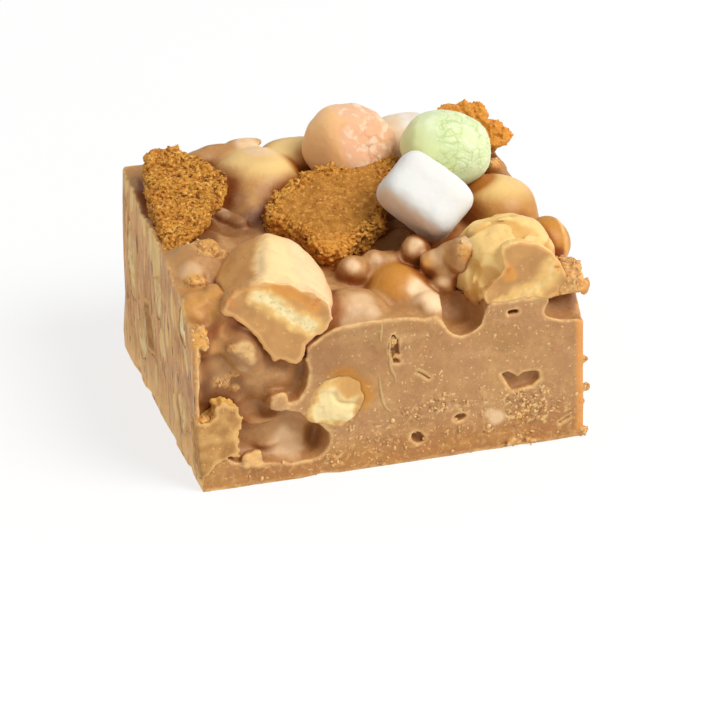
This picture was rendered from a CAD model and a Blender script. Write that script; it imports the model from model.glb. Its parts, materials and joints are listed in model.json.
# %% [markdown]
# # Rocky road
#
# This is a lesson in dressing a plain CAD model of one food: a hand-cut block of milk chocolate set
# round marshmallows, nuts and biscuit. The CAD model gives every piece its place and size. Here each
# piece gets the surface of the real one: melted chocolate that climbs round what it holds, knife
# cuts that slice through marshmallow, crumb, cracked skins and stains.
#
# The frame is loaded first. All sizes in this file are in millimetres until a mesh is made.

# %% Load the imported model
import itertools
import json
import math

import bmesh
import bpy
import numpy as np
from mathutils import Euler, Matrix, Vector


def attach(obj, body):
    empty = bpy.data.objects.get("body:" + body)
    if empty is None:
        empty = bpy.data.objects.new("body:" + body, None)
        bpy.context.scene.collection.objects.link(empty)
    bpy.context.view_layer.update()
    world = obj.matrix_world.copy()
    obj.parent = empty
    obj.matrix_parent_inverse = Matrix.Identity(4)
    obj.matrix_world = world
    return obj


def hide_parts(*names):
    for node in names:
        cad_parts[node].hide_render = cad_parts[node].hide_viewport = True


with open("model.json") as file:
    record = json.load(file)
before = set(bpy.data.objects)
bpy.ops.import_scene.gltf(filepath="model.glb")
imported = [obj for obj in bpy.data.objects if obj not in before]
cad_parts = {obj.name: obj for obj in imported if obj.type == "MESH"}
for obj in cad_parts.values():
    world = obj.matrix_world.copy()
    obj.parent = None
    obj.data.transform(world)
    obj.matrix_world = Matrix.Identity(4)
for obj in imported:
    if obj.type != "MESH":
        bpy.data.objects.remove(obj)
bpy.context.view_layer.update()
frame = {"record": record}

MM = 0.001

# %% [markdown]
# ## Shapes as fields
#
# Melted chocolate has no edges and no parts: it runs over lumps, fills corners with a small curve
# and creeps a little way up whatever sits in it. Boxes and spheres joined by Booleans can't do that.
# A *field* can. It is a function that is negative inside a shape, zero on its surface and positive
# outside. The smaller of two fields is their union, the larger is their overlap, and a *soft* smaller
# one leaves a fillet where two shapes meet, which is just what a liquid does.
#
# The field is sampled on a grid of points, and the surface is then drawn through the grid cells where
# the sign changes. That drawing method is called surface nets: one vertex in each such cell, and one
# four-sided face round each grid edge that crosses the surface.

# %% Soft joins
def soft_min(first, second, width):
    """The smaller of two fields, with a fillet about this wide where they meet."""
    near = np.maximum(width - np.abs(first - second), 0.0) / width
    return np.minimum(first, second) - near * near * width * 0.25


def soft_max(first, second, width):
    return -soft_min(-first, -second, width)


def fade(values, low, high):
    """Runs smoothly from 0 where the value is low to 1 where it is high."""
    share = np.clip((values - low) / (high - low), 0.0, 1.0)
    return share * share * (3.0 - 2.0 * share)


# %% Bumps and grains: the two kinds of randomness in food
LATTICE = 64
LATTICE_OFFSET = 1000.5  # so that no corner of a cell is at the middle of the block
CORNERS = tuple(itertools.product((0, 1), repeat=3))
FAR_AWAY = 9.0


def corner_weight(shares, corner):
    """How much one corner of a cell counts at these shares of the way through the cell."""
    first, second, third = [share if step else 1.0 - share for share, step in zip(shares, corner)]
    return first * second * third


def bumps(x, y, z, size, seed):
    """Smooth noise from -1 to 1, with bumps about this many millimetres across."""
    table = np.random.default_rng(seed).uniform(-1.0, 1.0, (LATTICE,) * 3).astype(np.float32)
    cell, shares = [], []
    for values in (x, y, z):
        scaled = np.asarray(values, dtype=np.float32) / size + LATTICE_OFFSET
        low = np.floor(scaled)
        share = scaled - low
        cell.append(low.astype(np.int64) % LATTICE)
        shares.append(share * share * (3.0 - 2.0 * share))
    total = 0.0
    for corner in CORNERS:
        index = tuple((c + step) % LATTICE for c, step in zip(cell, corner))
        total = total + corner_weight(shares, corner) * table[index]
    return total


def grains(x, y, z, size, seed):
    """How far each point is from the nearest and the next grain's middle, in grain sizes."""
    table = np.random.default_rng(seed).uniform(0.15, 0.85, (LATTICE, LATTICE, LATTICE, 3)).astype(np.float32)
    scaled = [np.asarray(v, dtype=np.float32) / size + LATTICE_OFFSET for v in np.broadcast_arrays(x, y, z)]
    low = [np.floor(v) for v in scaled]
    part = [v - l for v, l in zip(scaled, low)]
    cell = [l.astype(np.int64) for l in low]
    first = np.full(part[0].shape, FAR_AWAY, dtype=np.float32)
    second = first.copy()
    for steps in itertools.product((-1, 0, 1), repeat=3):
        middle = table[tuple((c + step) % LATTICE for c, step in zip(cell, steps))]
        away = sum((step + middle[..., axis] - part[axis]) ** 2 for axis, step in enumerate(steps))
        second = np.minimum(second, np.maximum(first, away))
        first = np.minimum(first, away)
    return np.sqrt(first), np.sqrt(second)


# %% A grid of sample points, and windows on it
class Grid:
    """A box of points, one cell apart. A window is the part of it near one piece."""

    def __init__(self, low, high, cell):
        self.low = np.array(low, dtype=np.float32)
        self.cell = cell
        self.axes = [np.arange(a, b + cell, cell, dtype=np.float32) for a, b in zip(low, high)]

    def points(self, window=(slice(None),) * 3):
        x, y, z = [axis[part] for axis, part in zip(self.axes, window)]
        return x[:, None, None], y[None, :, None], z[None, None, :]

    def window(self, middle, reach):
        parts = []
        for axis, at, far in zip(self.axes, middle, reach):
            start, stop = np.searchsorted(axis, (at - far, at + far))
            parts.append(slice(max(0, int(start) - 1), int(stop) + 1))
        return tuple(parts)

    def sample(self, values, places):
        """The grid's values at these places, read between the grid points."""
        scaled = (places - self.low) / self.cell
        low = np.clip(np.floor(scaled).astype(np.int64), 0, np.array(values.shape) - 2)
        part = np.clip(scaled - low, 0.0, 1.0)
        total = 0.0
        for corner in CORNERS:
            index = tuple(l + step for l, step in zip(low.T, corner))
            total = total + corner_weight(part.T, corner) * values[index]
        return total


# %% Surface nets: the mesh of a field
def draw_surface(field, grid):
    """Vertices and four-sided faces of the surface where the field is zero."""
    inside = field < 0.0
    shape = np.array(field.shape) - 1
    count = np.zeros(shape, dtype=np.int8)
    for corner in CORNERS:
        count += inside[tuple(slice(step, step + length) for step, length in zip(corner, shape))]
    cells = np.argwhere((count > 0) & (count < 8))
    number = np.full(shape, -1, dtype=np.int64)
    number[cells[:, 0], cells[:, 1], cells[:, 2]] = np.arange(len(cells))

    total = np.zeros((len(cells), 3))
    crossings = np.zeros(len(cells))
    for axis in range(3):
        others = [a for a in range(3) if a != axis]
        for one in (0, 1):
            for two in (0, 1):
                start = cells.copy()
                start[:, others[0]] += one
                start[:, others[1]] += two
                stop = start.copy()
                stop[:, axis] += 1
                a = field[start[:, 0], start[:, 1], start[:, 2]]
                b = field[stop[:, 0], stop[:, 1], stop[:, 2]]
                crosses = (a < 0.0) != (b < 0.0)
                share = np.where(crosses, a / np.where(crosses, a - b, 1.0), 0.0)
                place = (start - cells).astype(np.float64)
                place[:, axis] += share
                total[crosses] += place[crosses]
                crossings += crosses
    places = (cells + total / crossings[:, None]) * grid.cell + grid.low

    quads = []
    for axis in range(3):
        one, two = [(axis + 1) % 3, (axis + 2) % 3]
        first = [slice(0, n) for n in shape]
        second = [slice(0, n) for n in shape]
        second[axis] = slice(1, shape[axis] + 1)
        first[axis] = slice(0, shape[axis])
        a, b = inside[tuple(first)], inside[tuple(second)]
        edges = np.argwhere(a != b)
        edges = edges[(edges[:, one] > 0) & (edges[:, two] > 0)]
        leaving = a[edges[:, 0], edges[:, 1], edges[:, 2]]
        ring = []
        for back_one, back_two in ((1, 1), (0, 1), (0, 0), (1, 0)):
            near = edges.copy()
            near[:, one] -= back_one
            near[:, two] -= back_two
            ring.append(number[near[:, 0], near[:, 1], near[:, 2]])
        ring = np.stack(ring, axis=1)
        quads.append(np.where(leaving[:, None], ring, ring[:, ::-1]))
    return places, np.concatenate(quads)


# %% From arrays to a Blender mesh
def mesh_of(name, places, faces):
    """A Blender mesh of these vertices, in millimetres, and faces of one size."""
    mesh = bpy.data.meshes.new(name)
    sides = faces.shape[1]
    mesh.vertices.add(len(places))
    mesh.vertices.foreach_set("co", (places * MM).astype(np.float32).ravel())
    mesh.loops.add(faces.size)
    mesh.loops.foreach_set("vertex_index", faces.astype(np.int32).ravel())
    mesh.polygons.add(len(faces))
    mesh.polygons.foreach_set("loop_start", np.arange(0, faces.size, sides, dtype=np.int32))
    mesh.update(calc_edges=True)
    mesh.validate()
    return mesh


def places_of(mesh):
    flat = np.empty(len(mesh.vertices) * 3, dtype=np.float32)
    mesh.vertices.foreach_get("co", flat)
    return flat.reshape(-1, 3) / MM


def normals_of(mesh):
    flat = np.empty(len(mesh.vertices) * 3, dtype=np.float32)
    mesh.vertex_normals.foreach_get("vector", flat)
    return flat.reshape(-1, 3)


def mark(mesh, name, values):
    """Writes one number per vertex, for a material to read."""
    layer = mesh.attributes.new(name, "FLOAT", "POINT")
    layer.data.foreach_set("value", np.asarray(values, dtype=np.float32))


def placed(name, data):
    """An object in the scene that holds this mesh, light or camera."""
    made_object = bpy.data.objects.new(name, data)
    bpy.context.scene.collection.objects.link(made_object)
    return made_object


def show(mesh):
    mesh.shade_smooth()
    return placed(mesh.name, mesh)


WEIGHT_STEPS = 16


def thinned(mesh, most_triangles, plain, name):
    """The same mesh with fewer triangles, most of all where it is plain, from 0 to 1."""
    carrier = placed("carrier", mesh)
    group = carrier.vertex_groups.new(name="plain")
    levels = np.clip(np.round(plain * WEIGHT_STEPS), 1, WEIGHT_STEPS).astype(int)
    for level in range(1, WEIGHT_STEPS + 1):
        chosen = np.nonzero(levels == level)[0].tolist()
        if chosen:
            group.add(chosen, level / WEIGHT_STEPS, "REPLACE")
    thinner = carrier.modifiers.new("Thin", "DECIMATE")
    thinner.vertex_group = group.name
    thinner.ratio = most_triangles / sum(len(p.vertices) - 2 for p in mesh.polygons)
    graph = bpy.context.evaluated_depsgraph_get()
    result = bpy.data.meshes.new_from_object(carrier.evaluated_get(graph))
    bpy.data.objects.remove(carrier)
    bpy.data.meshes.remove(mesh)
    result.name = name
    return result


print("helpers ready")

# %% [markdown]
# ## What the block holds
#
# The pieces are the CAD model's own, so their places, half sizes and turns are repeated here, except
# that a few sit up to a millimetre or so better for the look, and some outlines are more broken. A
# *power* of 2 makes an ellipsoid, and a higher one makes it squarer, like a short marshmallow log.
# A piece with a *side* was cut by the knife on that side of the block. *Flats* are places where a
# soft piece was pressed, each given as a direction and a distance from the middle of the piece.
# A *face* is the outline of a cut that spread in a thin *flap* over the front. *Climb* is how far the
# chocolate creeps up the piece, and *cover* how much of its skin of chocolate lies outside the solid.

# %% Outlines
def outside(outline, x, y):
    """How far a place is outside a closed outline, or minus how far inside."""
    nearest = np.full(np.broadcast(x, y).shape, 1e9, dtype=np.float32)
    sign = np.ones_like(nearest)
    for (x0, y0), (x1, y1) in zip(outline, outline[1:] + outline[:1]):
        ex, ey = x1 - x0, y1 - y0
        wx, wy = x - x0, y - y0
        share = np.clip((wx * ex + wy * ey) / (ex * ex + ey * ey), 0.0, 1.0)
        nearest = np.minimum(nearest, (wx - share * ex) ** 2 + (wy - share * ey) ** 2)
        above, below, left = y >= y0, y < y1, ex * wy > ey * wx
        sign = np.where((above & below & left) | (~above & ~below & ~left), -sign, sign)
    return sign * np.sqrt(nearest)


def from_line(points, x, y):
    """How far a place is from a line of points."""
    nearest = 1e9
    for (x0, y0), (x1, y1) in zip(points, points[1:]):
        ex, ey = x1 - x0, y1 - y0
        share = np.clip(((x - x0) * ex + (y - y0) * ey) / (ex * ex + ey * ey), 0.0, 1.0)
        nearest = np.minimum(nearest, (x - x0 - share * ex) ** 2 + (y - y0 - share * ey) ** 2)
    return np.sqrt(nearest)


# %% The rounded pieces
def axes_of(turn):
    """The axes of a piece that is turned by these degrees."""
    return np.array(Euler([math.radians(a) for a in turn]).to_matrix(), dtype=np.float32)


class Rounded:
    def __init__(
        self, at, half, turn, power, side=None,
        climb=2.2, flats=(), face=None, flap=3.4, ragged=0.45, cover=0.0,
    ):
        self.at, self.half, self.power, self.side, self.climb = at, half, power, side, climb
        self.flats, self.face, self.flap, self.ragged, self.cover = flats, face, flap, ragged, cover
        self.axes = axes_of(turn)
        self.reach = max(half) * 1.25

    def inside(self, x, y, z):
        """Turns a place in the block into a place in the piece."""
        away = [v - a for v, a in zip((x, y, z), self.at)]
        return [sum(self.axes[row, column] * away[row] for row in range(3)) for column in range(3)]

    def field(self, x, y, z):
        local = self.inside(x, y, z)
        squared = sum(v * v for v in local)
        share = sum(np.abs(v / h) ** self.power for v, h in zip(local, self.half)) ** (1.0 / self.power)
        result = np.sqrt(squared) * (1.0 - 1.0 / np.maximum(share, 0.05)) + 0.35 * bumps(x, y, z, 5.5, 11)
        if self.side and not self.face:
            result = result + 0.8 * bumps(x, y, z, 3.0, 13) + 0.35 * bumps(x, y, z, 1.3, 14)
        for (nx, ny, nz), far in self.flats:
            flat = nx * (x - self.at[0]) + ny * (y - self.at[1]) + nz * (z - self.at[2]) - far
            result = soft_max(result, flat, 1.1)
        if self.face:
            wave = self.ragged * (bumps(x, 0 * y, z, 1.5, 12) + 0.45 * bumps(x, 0 * y, z, 0.7, 15))
            flap = outside(self.face, x, z) + wave + 0.3 * np.maximum(y + 23.2, 0.0)
            result = soft_min(result, soft_max(flap, y + 24.0 - self.flap, 1.0), 0.8)
        return result


ROUNDED = {
    "marshmallow_pink": Rounded(
        (3.8, 13.8, 35.1), (6.7, 6.3, 6.1), (0, 8, 20), 2.4,
        climb=1.2,
        flats=(((-0.86, -0.48, 0.15), 5.9), ((0.28, -0.85, 0.45), 5.8)),
    ),
    "marshmallow_green": Rounded((16.9, 5.2, 37.0), (6.9, 6.1, 5.6), (0, 12, -15), 2.3, climb=1.2),
    "marshmallow_white": Rounded((10.3, -5.2, 34.5), (6.5, 5.3, 4.6), (52.9, -33.6, 142.2), 4.2, climb=1.2),
    "marshmallow_white_back": Rounded((14.8, 19.4, 31.9), (5.0, 4.2, 3.9), (0, 0, 10), 2.8, climb=1.4),
    "marshmallow_front_left": Rounded(
        (-17.5, -17.2, 28.1), (8.8, 8.2, 8.0), (6, 24, 4), 2.5, "front",
        climb=1.2,
        flats=(((-0.577, -0.005, 0.816), 5.8), ((0.487, -0.323, 0.811), 5.7), ((-0.766, 0.0, -0.643), 4.5)),
        face=(
            (-26.4, 30.1), (-25.8, 31.9), (-23.2, 33.4), (-21.0, 33.9), (-18.7, 33.7), (-16.1, 32.9),
            (-13.5, 31.3), (-11.6, 30.2), (-10.2, 28.4), (-9.7, 26.2), (-11.4, 24.2), (-14.2, 22.6),
            (-14.4, 21.0), (-15.4, 19.8), (-17.0, 20.7), (-18.6, 20.8), (-20.1, 22.8), (-21.1, 24.8),
            (-23.9, 28.0),
        ),
    ),
    "marshmallow_front_right": Rounded(
        (19.1, -16.2, 27.5), (7.5, 6.6, 7.2), (10, 0, 15), 2.4, "front",
        climb=1.0,
        face=(
            (17.6, 34.7), (16.6, 33.9), (16.5, 32.4), (16.9, 30.8), (16.3, 29.7), (14.9, 29.0), (13.9, 28.0),
            (13.7, 26.8), (14.1, 25.0), (16.5, 24.8), (19.0, 25.0), (21.5, 25.0), (23.6, 24.4), (25.3, 25.1),
            (26.6, 27.3), (26.2, 29.1), (25.4, 30.8), (24.2, 32.4), (22.0, 34.1), (19.2, 34.9),
        ),
        flap=2.4, ragged=0.22,
    ),
    "marshmallow_back_right": Rounded((23.9, 1.0, 27.5), (5.7, 6.3, 4.6), (0, 16, 10), 2.0, climb=1.6, cover=0.3),
    "marshmallow_centre": Rounded((3.2, -14.4, 23.6), (3.9, 4.1, 3.6), (0, 15, -20), 2.1, climb=1.8, cover=0.5),
    "marshmallow_back_left": Rounded((-10.4, 15.4, 29.2), (5.9, 6.0, 4.7), (0, 0, 25), 2.6, climb=2.0, cover=0.5),
    "marshmallow_back": Rounded(
        (-3.2, 20.0, 30.7), (5.0, 3.6, 3.4), (0, -10, -20), 2.2,
        climb=1.4, flats=(((-0.10, 0.0, 0.995), 2.4),), cover=0.4,
    ),
    "marshmallow_corner": Rounded(
        (-27.8, -18.4, 25.8), (4.6, 4.2, 4.4), (0, 10, 0), 3.0, "left", climb=1.2, cover=0.3
    ),
    "nut_right": Rounded((28.0, -11.4, 27.4), (3.1, 3.9, 3.6), (0, 0, 10), 2.0, climb=0.9, cover=0.3),
    "nut_front": Rounded((-22.8, -21.2, 22.3), (3.2, 2.7, 4.6), (0, -22, 0), 2.0, climb=0.5, cover=0.3),
    "marshmallow_front_low": Rounded((-9.2, -21.6, 12.2), (4.3, 4.6, 4.9), (0, 40, 0), 2.2, "front"),
    "marshmallow_left_back": Rounded((-27.0, 17.4, 18.6), (5.0, 2.8, 7.2), (-8, 0, 0), 2.4, "left"),
    "marshmallow_left_middle": Rounded((-27.6, -0.8, 21.4), (4.8, 2.8, 4.2), (-10, 0, 0), 2.3, "left"),
    "marshmallow_left_low_back": Rounded((-27.4, 12.2, 7.6), (5.0, 2.8, 4.0), (-12, 0, 0), 2.3, "left"),
    "marshmallow_left_low": Rounded((-28.0, -14.2, 8.6), (4.2, 2.4, 3.8), (-8, 0, 0), 2.3, "left"),
    "marshmallow_right_low": Rounded((27.4, 12.4, 9.6), (4.6, 5.2, 4.6), (20, 0, 0), 2.4, "right"),
    "marshmallow_right_high": Rounded((27.0, -6.6, 15.4), (4.8, 4.4, 5.0), (-25, 0, 0), 2.4, "right"),
    "nut_right_cut": Rounded((28.0, 3.0, 20.2), (3.4, 3.6, 2.8), (30, 0, 0), 2.0, "right"),
    "marshmallow_rear_left": Rounded((-17.0, 21.2, 20.6), (5.4, 4.8, 4.6), (0, 25, 0), 2.4, "back"),
    "marshmallow_rear_middle": Rounded((1.6, 21.4, 9.8), (4.6, 4.4, 5.0), (0, -30, 0), 2.4, "back"),
    "marshmallow_rear_right": Rounded((16.6, 21.0, 19.4), (5.0, 5.0, 4.4), (0, 35, 0), 2.4, "back"),
}


# %% The broken biscuits, each a slab with an outline
class Broken:
    def __init__(self, at, thickness, turn, outline, side=None):
        self.at, self.thickness, self.outline, self.side = at, thickness, outline, side
        self.climb, self.cover = 1.0, 0.0
        self.axes = axes_of(turn)
        self.reach = max(math.hypot(*corner) for corner in outline) * 1.12 + 0.8

    inside = Rounded.inside

    def field(self, x, y, z):
        lx, ly, lz = self.inside(x, y, z)
        wave = 0.45 * bumps(x, y, z, 2.6, 5) + 0.3 * bumps(x, y, z, 1.3, 6)
        rim = outside(self.outline, lx + wave, ly - wave) + 0.8
        face = np.abs(lz) - self.thickness / 2 + 0.8
        corner = np.sqrt(np.maximum(rim, 0.0) ** 2 + np.maximum(face, 0.0) ** 2)
        return corner + np.minimum(np.maximum(rim, face), 0.0) - 0.8 + 0.4 * wave


BISCUITS = {
    "biscuit_back_left": Broken(
        (-22.8, 10.8, 32.5), 4.2, (15, 0, 0),
        (
            (6.7, 0.8), (2.6, 6.2), (0.5, 9.0), (-4.1, 8.2), (-5.3, 4.9), (-5.8, 1.4), (-6.7, -4.3),
            (-7.2, -10.5), (-7.4, -14.5), (-5.0, -14.1), (-2.5, -13.2), (-0.7, -10.8), (2.2, -6.8), (4.5, -4.2),
        ),
    ),
    "biscuit_centre": Broken(
        (-2.6, 2.9, 30.4), 4.8, (20, 0, 0),
        (
            (12.9, 7.2), (6.9, 7.6), (-0.9, 6.8), (-4.6, 4.8), (-7.6, 3.2), (-10.2, 0.1), (-10.3, -2.8),
            (-7.6, -4.2), (-6.7, -5.4), (-3.9, -10.5), (-1.4, -11.4), (-0.3, -10.8), (0.9, -9.2), (6.2, -6.8),
            (7.6, -4.4),
        ),
    ),
    "biscuit_back_right": Broken(
        (25.6, 18.4, 33.6), 4.0, (48, 0, -30),
        (
            (6.0, -0.9), (4.6, 0.6), (1.9, 0.7), (1.9, 2.2), (1.0, 3.4), (-4.9, 2.4), (-6.1, 0.6), (-3.4, -3.6),
            (2.9, -4.0), (5.5, -2.6),
        ),
    ),
    "biscuit_corner": Broken(
        (-26.8, -22.3, 7.2), 5.0, (90, 0, 0),
        (
            (2.5, 0.8), (3.2, 3.9), (2.2, 6.6), (0.6, 7.3), (-1.0, 6.9), (-1.1, 5.4), (-2.2, 4.6), (-4.8, 4.9),
            (-4.8, -5.6), (-3.1, -5.4), (-0.9, -3.0), (2.2, -1.5),
        ),
        "corner",
    ),
    "biscuit_left": Broken(
        (-27.6, 6.6, 13.0), 5.0, (72, 0, 0),
        ((4.6, 1.6), (0.0, 5.6), (-4.6, 3.6), (-4.6, -4.2), (0.8, -5.4), (4.2, -2.4)),
        "left",
    ),
    "biscuit_right": Broken(
        (27.4, -15.6, 9.6), 5.4, (64, 0, 0),
        ((4.4, 2.6), (0.4, 5.8), (-4.4, 2.8), (-4.6, -2.6), (0.2, -5.4), (4.6, -3.4)),
        "right",
    ),
    "biscuit_rear": Broken(
        (-14.0, 21.6, 7.0), 5.2, (0, -14, 0),
        ((6.4, 0.6), (3.4, 4.2), (-4.0, 4.4), (-6.2, -0.8), (-2.0, -4.6), (3.8, -3.8)),
        "back",
    ),
}
HELD = {**ROUNDED, **BISCUITS}
print(len(HELD), "pieces in the chocolate")

# %% [markdown]
# ## The chocolate block
#
# The block is one field. Its top is a relief: levels across the block, plus swells and ripples from
# setting. Lumps of coated nut and crumb are soft-joined to it, so the chocolate runs between them.
# Then it climbs round each piece that it holds. The knife takes off the four sides, nearly flat, and
# the hollows are places that the chocolate never filled.

# %% The top as it set
WIDTH = 60.0
DEPTH = 48.0
FRONT, BACK = -DEPTH / 2, DEPTH / 2
LEFT, RIGHT = -WIDTH / 2, WIDTH / 2
# The height of the top at these depths, at the left, in the middle and at the right.
LEVEL_DEPTHS = (-24.0, -16.0, -8.0, 2.0, 12.0, 24.0)
LEVEL_LEFT = (27.0, 29.3, 31.5, 31.2, 31.0, 31.4)
LEVEL_MIDDLE = (24.6, 24.0, 24.5, 27.5, 29.5, 30.6)
LEVEL_RIGHT = (23.2, 24.5, 25.5, 27.0, 28.5, 29.0)
# Places along the front of the top, as x and height.
EDGE = (
    (-17.0, 22.5), (-14.3, 22.6), (-12.0, 23.4), (-9.4, 24.7), (-5.6, 25.0), (0.6, 24.8), (3.5, 24.4),
    (6.6, 23.4), (7.7, 22.3), (8.8, 21.0), (10.2, 20.3), (11.1, 20.9), (12.2, 21.7), (13.6, 22.7), (14.5, 25.3),
    (23.6, 25.2), (24.3, 22.6), (25.4, 22.1), (29.2, 20.0),
)


def top_level(x, y):
    """The height of the set chocolate, which meets the front cut along its own line."""
    left, middle, right = [np.interp(y, LEVEL_DEPTHS, z) for z in (LEVEL_LEFT, LEVEL_MIDDLE, LEVEL_RIGHT)]
    west = middle + (left - middle) * np.clip(-x / -LEFT, 0.0, 1.1)
    east = middle + (right - middle) * np.clip(x / RIGHT, 0.0, 1.1)
    flat = 0.0 * x * y
    swell = 0.8 * bumps(x, y, flat, 6.0, 21) + 0.5 * bumps(x, y, flat, 3.4, 23)
    ripple = 0.4 * np.abs(bumps(x, y, flat, 2.6, 22))
    level = np.where(x < 0.0, west, east) + swell - ripple
    edge = np.interp(x, *zip(*EDGE)) + 0.15 * bumps(x, flat, flat, 1.1, 24)
    near_edge = fade(y, FRONT + 5.0, FRONT + 0.8) * fade(x, -19.0, -15.0)
    return level + (edge - level) * near_edge


# %% The knife's four cuts
LEAN_HEIGHT = 30.0
LEFT_LEAN_FRONT, LEFT_LEAN_BACK = -1.7, 0.4
RIGHT_LEAN = -0.6


def left_at(y, z):
    share = (y - FRONT) / DEPTH
    return LEFT + (LEFT_LEAN_FRONT + (LEFT_LEAN_BACK - LEFT_LEAN_FRONT) * share) * z / LEAN_HEIGHT


def chipped(x, y, z):
    """Chips out of the lower edge."""
    return 0.9 * np.maximum(bumps(x, y, z, 1.7, 27) - 0.05, 0.0) * fade(z, 1.6, 0.2)


# Clusters of crumb in the front: x, z, half width, half height and how crumbly.
CLUSTERS = (
    (21.1, 5.9, 4.6, 3.2, 1.0), (18.9, 8.6, 2.6, 1.8, 0.8), (23.6, 9.0, 2.2, 1.6, 0.5),
    (6.9, 9.3, 2.8, 1.8, 0.9), (2.7, 8.3, 2.0, 1.8, 0.65), (11.1, 8.1, 1.8, 1.4, 0.5),
    (14.7, 3.2, 1.3, 0.9, 0.9), (20.1, 1.0, 2.8, 1.0, 1.0), (-3.3, 4.1, 3.4, 2.2, 0.5),
    (-9.6, 2.4, 2.6, 1.6, 0.6), (-0.4, 19.8, 0.9, 2.6, 0.9), (26.9, 5.2, 1.8, 2.6, 0.4),
)


def crumbly(x, y, z):
    """The front is smooth above, and crumbly below where biscuit crumb lies in the cut."""
    result = 0.16 * fade(z + 1.5 * bumps(x, 0 * z, z, 5.0, 30), 13.0, 7.0)
    for cx, cz, half_x, half_z, share in CLUSTERS:
        away = np.sqrt(((x - cx) / half_x) ** 2 + ((z - cz) / half_z) ** 2) + 0.22 * bumps(x, 0 * z, z, 1.3, 29)
        result = np.maximum(result, share * fade(away, 1.1, 0.55))
    return result


def cut_front(x, y, z):
    swell = 0.20 * bumps(x, 0 * y, z, 6.0, 31) + 0.12 * bumps(x, 0 * y, z, 2.1, 32)
    flat = swell + 0.05 * bumps(x, 0 * y, z, 0.9, 25)
    dent = 0.5 * np.maximum(bumps(x, 0 * y, z, 2.6, 58) - 0.4, 0.0)
    bend = 0.45 * bumps(x, 0 * y, z, 1.1, 59)
    first, _ = grains(x + bend, 0 * y, z - bend, 1.35, 39)
    broken = (0.6 * (first - 0.42) + 0.34 * bumps(x, 0 * y, z, 0.8, 28)) * crumbly(x, y, z)
    return FRONT - y + flat + dent + broken + chipped(x, 0 * y, z)


def cut_back(x, y, z):
    return y - BACK + 0.16 * bumps(x, 0 * y, z, 7.0, 33) + 0.08 * bumps(x, 0 * y, z, 1.7, 34)


def cut_left(x, y, z):
    drag = 0.30 * bumps(0 * x, y, z * 0.14, 1.0, 35) + 0.16 * bumps(0 * x, y, z * 0.3, 3.0, 36)
    return left_at(y, z) - x + drag + chipped(0 * x, y, z)


def cut_right(x, y, z):
    drag = 0.10 * bumps(0 * x, y, z * 0.2, 1.3, 37) + 0.12 * bumps(0 * x, y, z * 0.4, 3.5, 38)
    return x - RIGHT - RIGHT_LEAN * z / LEAN_HEIGHT + drag


CUTS = {"front": cut_front, "back": cut_back, "left": cut_left, "right": cut_right}


def knife(x, y, z, sides=("front", "back", "left", "right")):
    """The field of everything inside these cuts."""
    result = CUTS[sides[0]](x, y, z)
    for side in sides[1:]:
        result = soft_max(result, CUTS[side](x, y, z), 0.5)
    return result


# %% Lumps under the chocolate, each as its middle and its half sizes
SWELLS = (
    ((-26.6, -7.5, 30.0), (3.4, 4.0, 2.6)), ((-22.8, -10.5, 28.6), (3.6, 3.4, 2.6)),
    ((-5.6, -18.6, 24.4), (5.6, 4.0, 3.0)), ((6.3, -19.4, 23.4), (2.3, 4.6, 2.7)),
    ((11.0, -11.5, 24.4), (4.4, 3.6, 2.8)), ((-15.0, 21.4, 32.2), (6.0, 2.3, 1.9)),
    ((17.0, 6.5, 27.6), (6.5, 5.5, 3.2)), ((27.6, -4.8, 25.8), (2.2, 5.0, 2.4)),
    ((-17.0, -7.0, 28.4), (4.0, 3.2, 2.0)), ((-12.8, 9.6, 28.9), (4.4, 5.0, 3.0)),
)
LUMPS = (
    ((-2.6, -10.6, 26.4), (2.7, 2.4, 2.5)), ((0.9, -9.4, 26.6), (2.3, 2.0, 2.2)),
    ((3.6, -9.6, 26.8), (1.7, 1.6, 1.6)), ((7.4, -9.8, 28.0), (2.3, 2.1, 2.6)),
    ((11.3, -15.2, 29.9), (2.1, 2.0, 1.8)), ((9.2, -14.0, 28.1), (2.5, 2.1, 2.1)),
    ((10.8, -15.2, 26.9), (2.3, 2.1, 2.0)), ((9.8, -16.2, 25.2), (1.7, 1.3, 1.1)),
    ((13.6, -16.7, 31.2), (2.9, 2.4, 1.7)), ((12.2, -17.0, 29.2), (1.7, 2.0, 2.0)),
    ((-21.2, 7.2, 31.0), (1.2, 0.9, 0.8)), ((-20.1, 6.4, 31.0), (1.3, 0.9, 0.9)),
    ((-18.9, 5.4, 30.8), (1.3, 0.9, 0.9)), ((-17.7, 4.2, 30.4), (1.4, 0.8, 0.8)),
    ((-16.4, 3.2, 29.9), (1.2, 0.7, 0.7)), ((26.4, 10.6, 28.8), (2.0, 1.8, 2.2)),
    ((7.4, -2.2, 26.0), (2.0, 2.2, 2.4)), ((-28.0, -11.6, 30.0), (1.9, 2.2, 1.4)),
)
FLAKES = (
    ((-10.4, 22.2, 33.7), (2.9, 1.5, 0.5)), ((-14.6, 21.6, 33.2), (2.4, 1.2, 0.6)),
    ((-11.4, 20.2, 32.3), (3.4, 1.2, 0.5)), ((21.6, 12.8, 30.4), (1.4, 1.0, 0.6)),
)
CRUMB_LUMPS = (
    ((-24.3, -7.9, 32.0), (1.9, 1.7, 1.5)), ((-22.5, -8.9, 31.3), (1.1, 0.9, 0.9)),
    ((-25.6, -6.4, 32.1), (1.0, 0.9, 0.8)), ((-27.9, -14.2, 30.3), (1.7, 1.1, 0.8)),
    ((27.6, -21.0, 26.0), (3.2, 4.0, 2.9)), ((12.4, -17.9, 31.0), (1.0, 0.9, 1.4)),
    ((-8.2, -18.6, 25.3), (1.0, 0.8, 0.7)), ((25.6, 8.6, 31.0), (1.3, 1.2, 1.5)),
)
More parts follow.
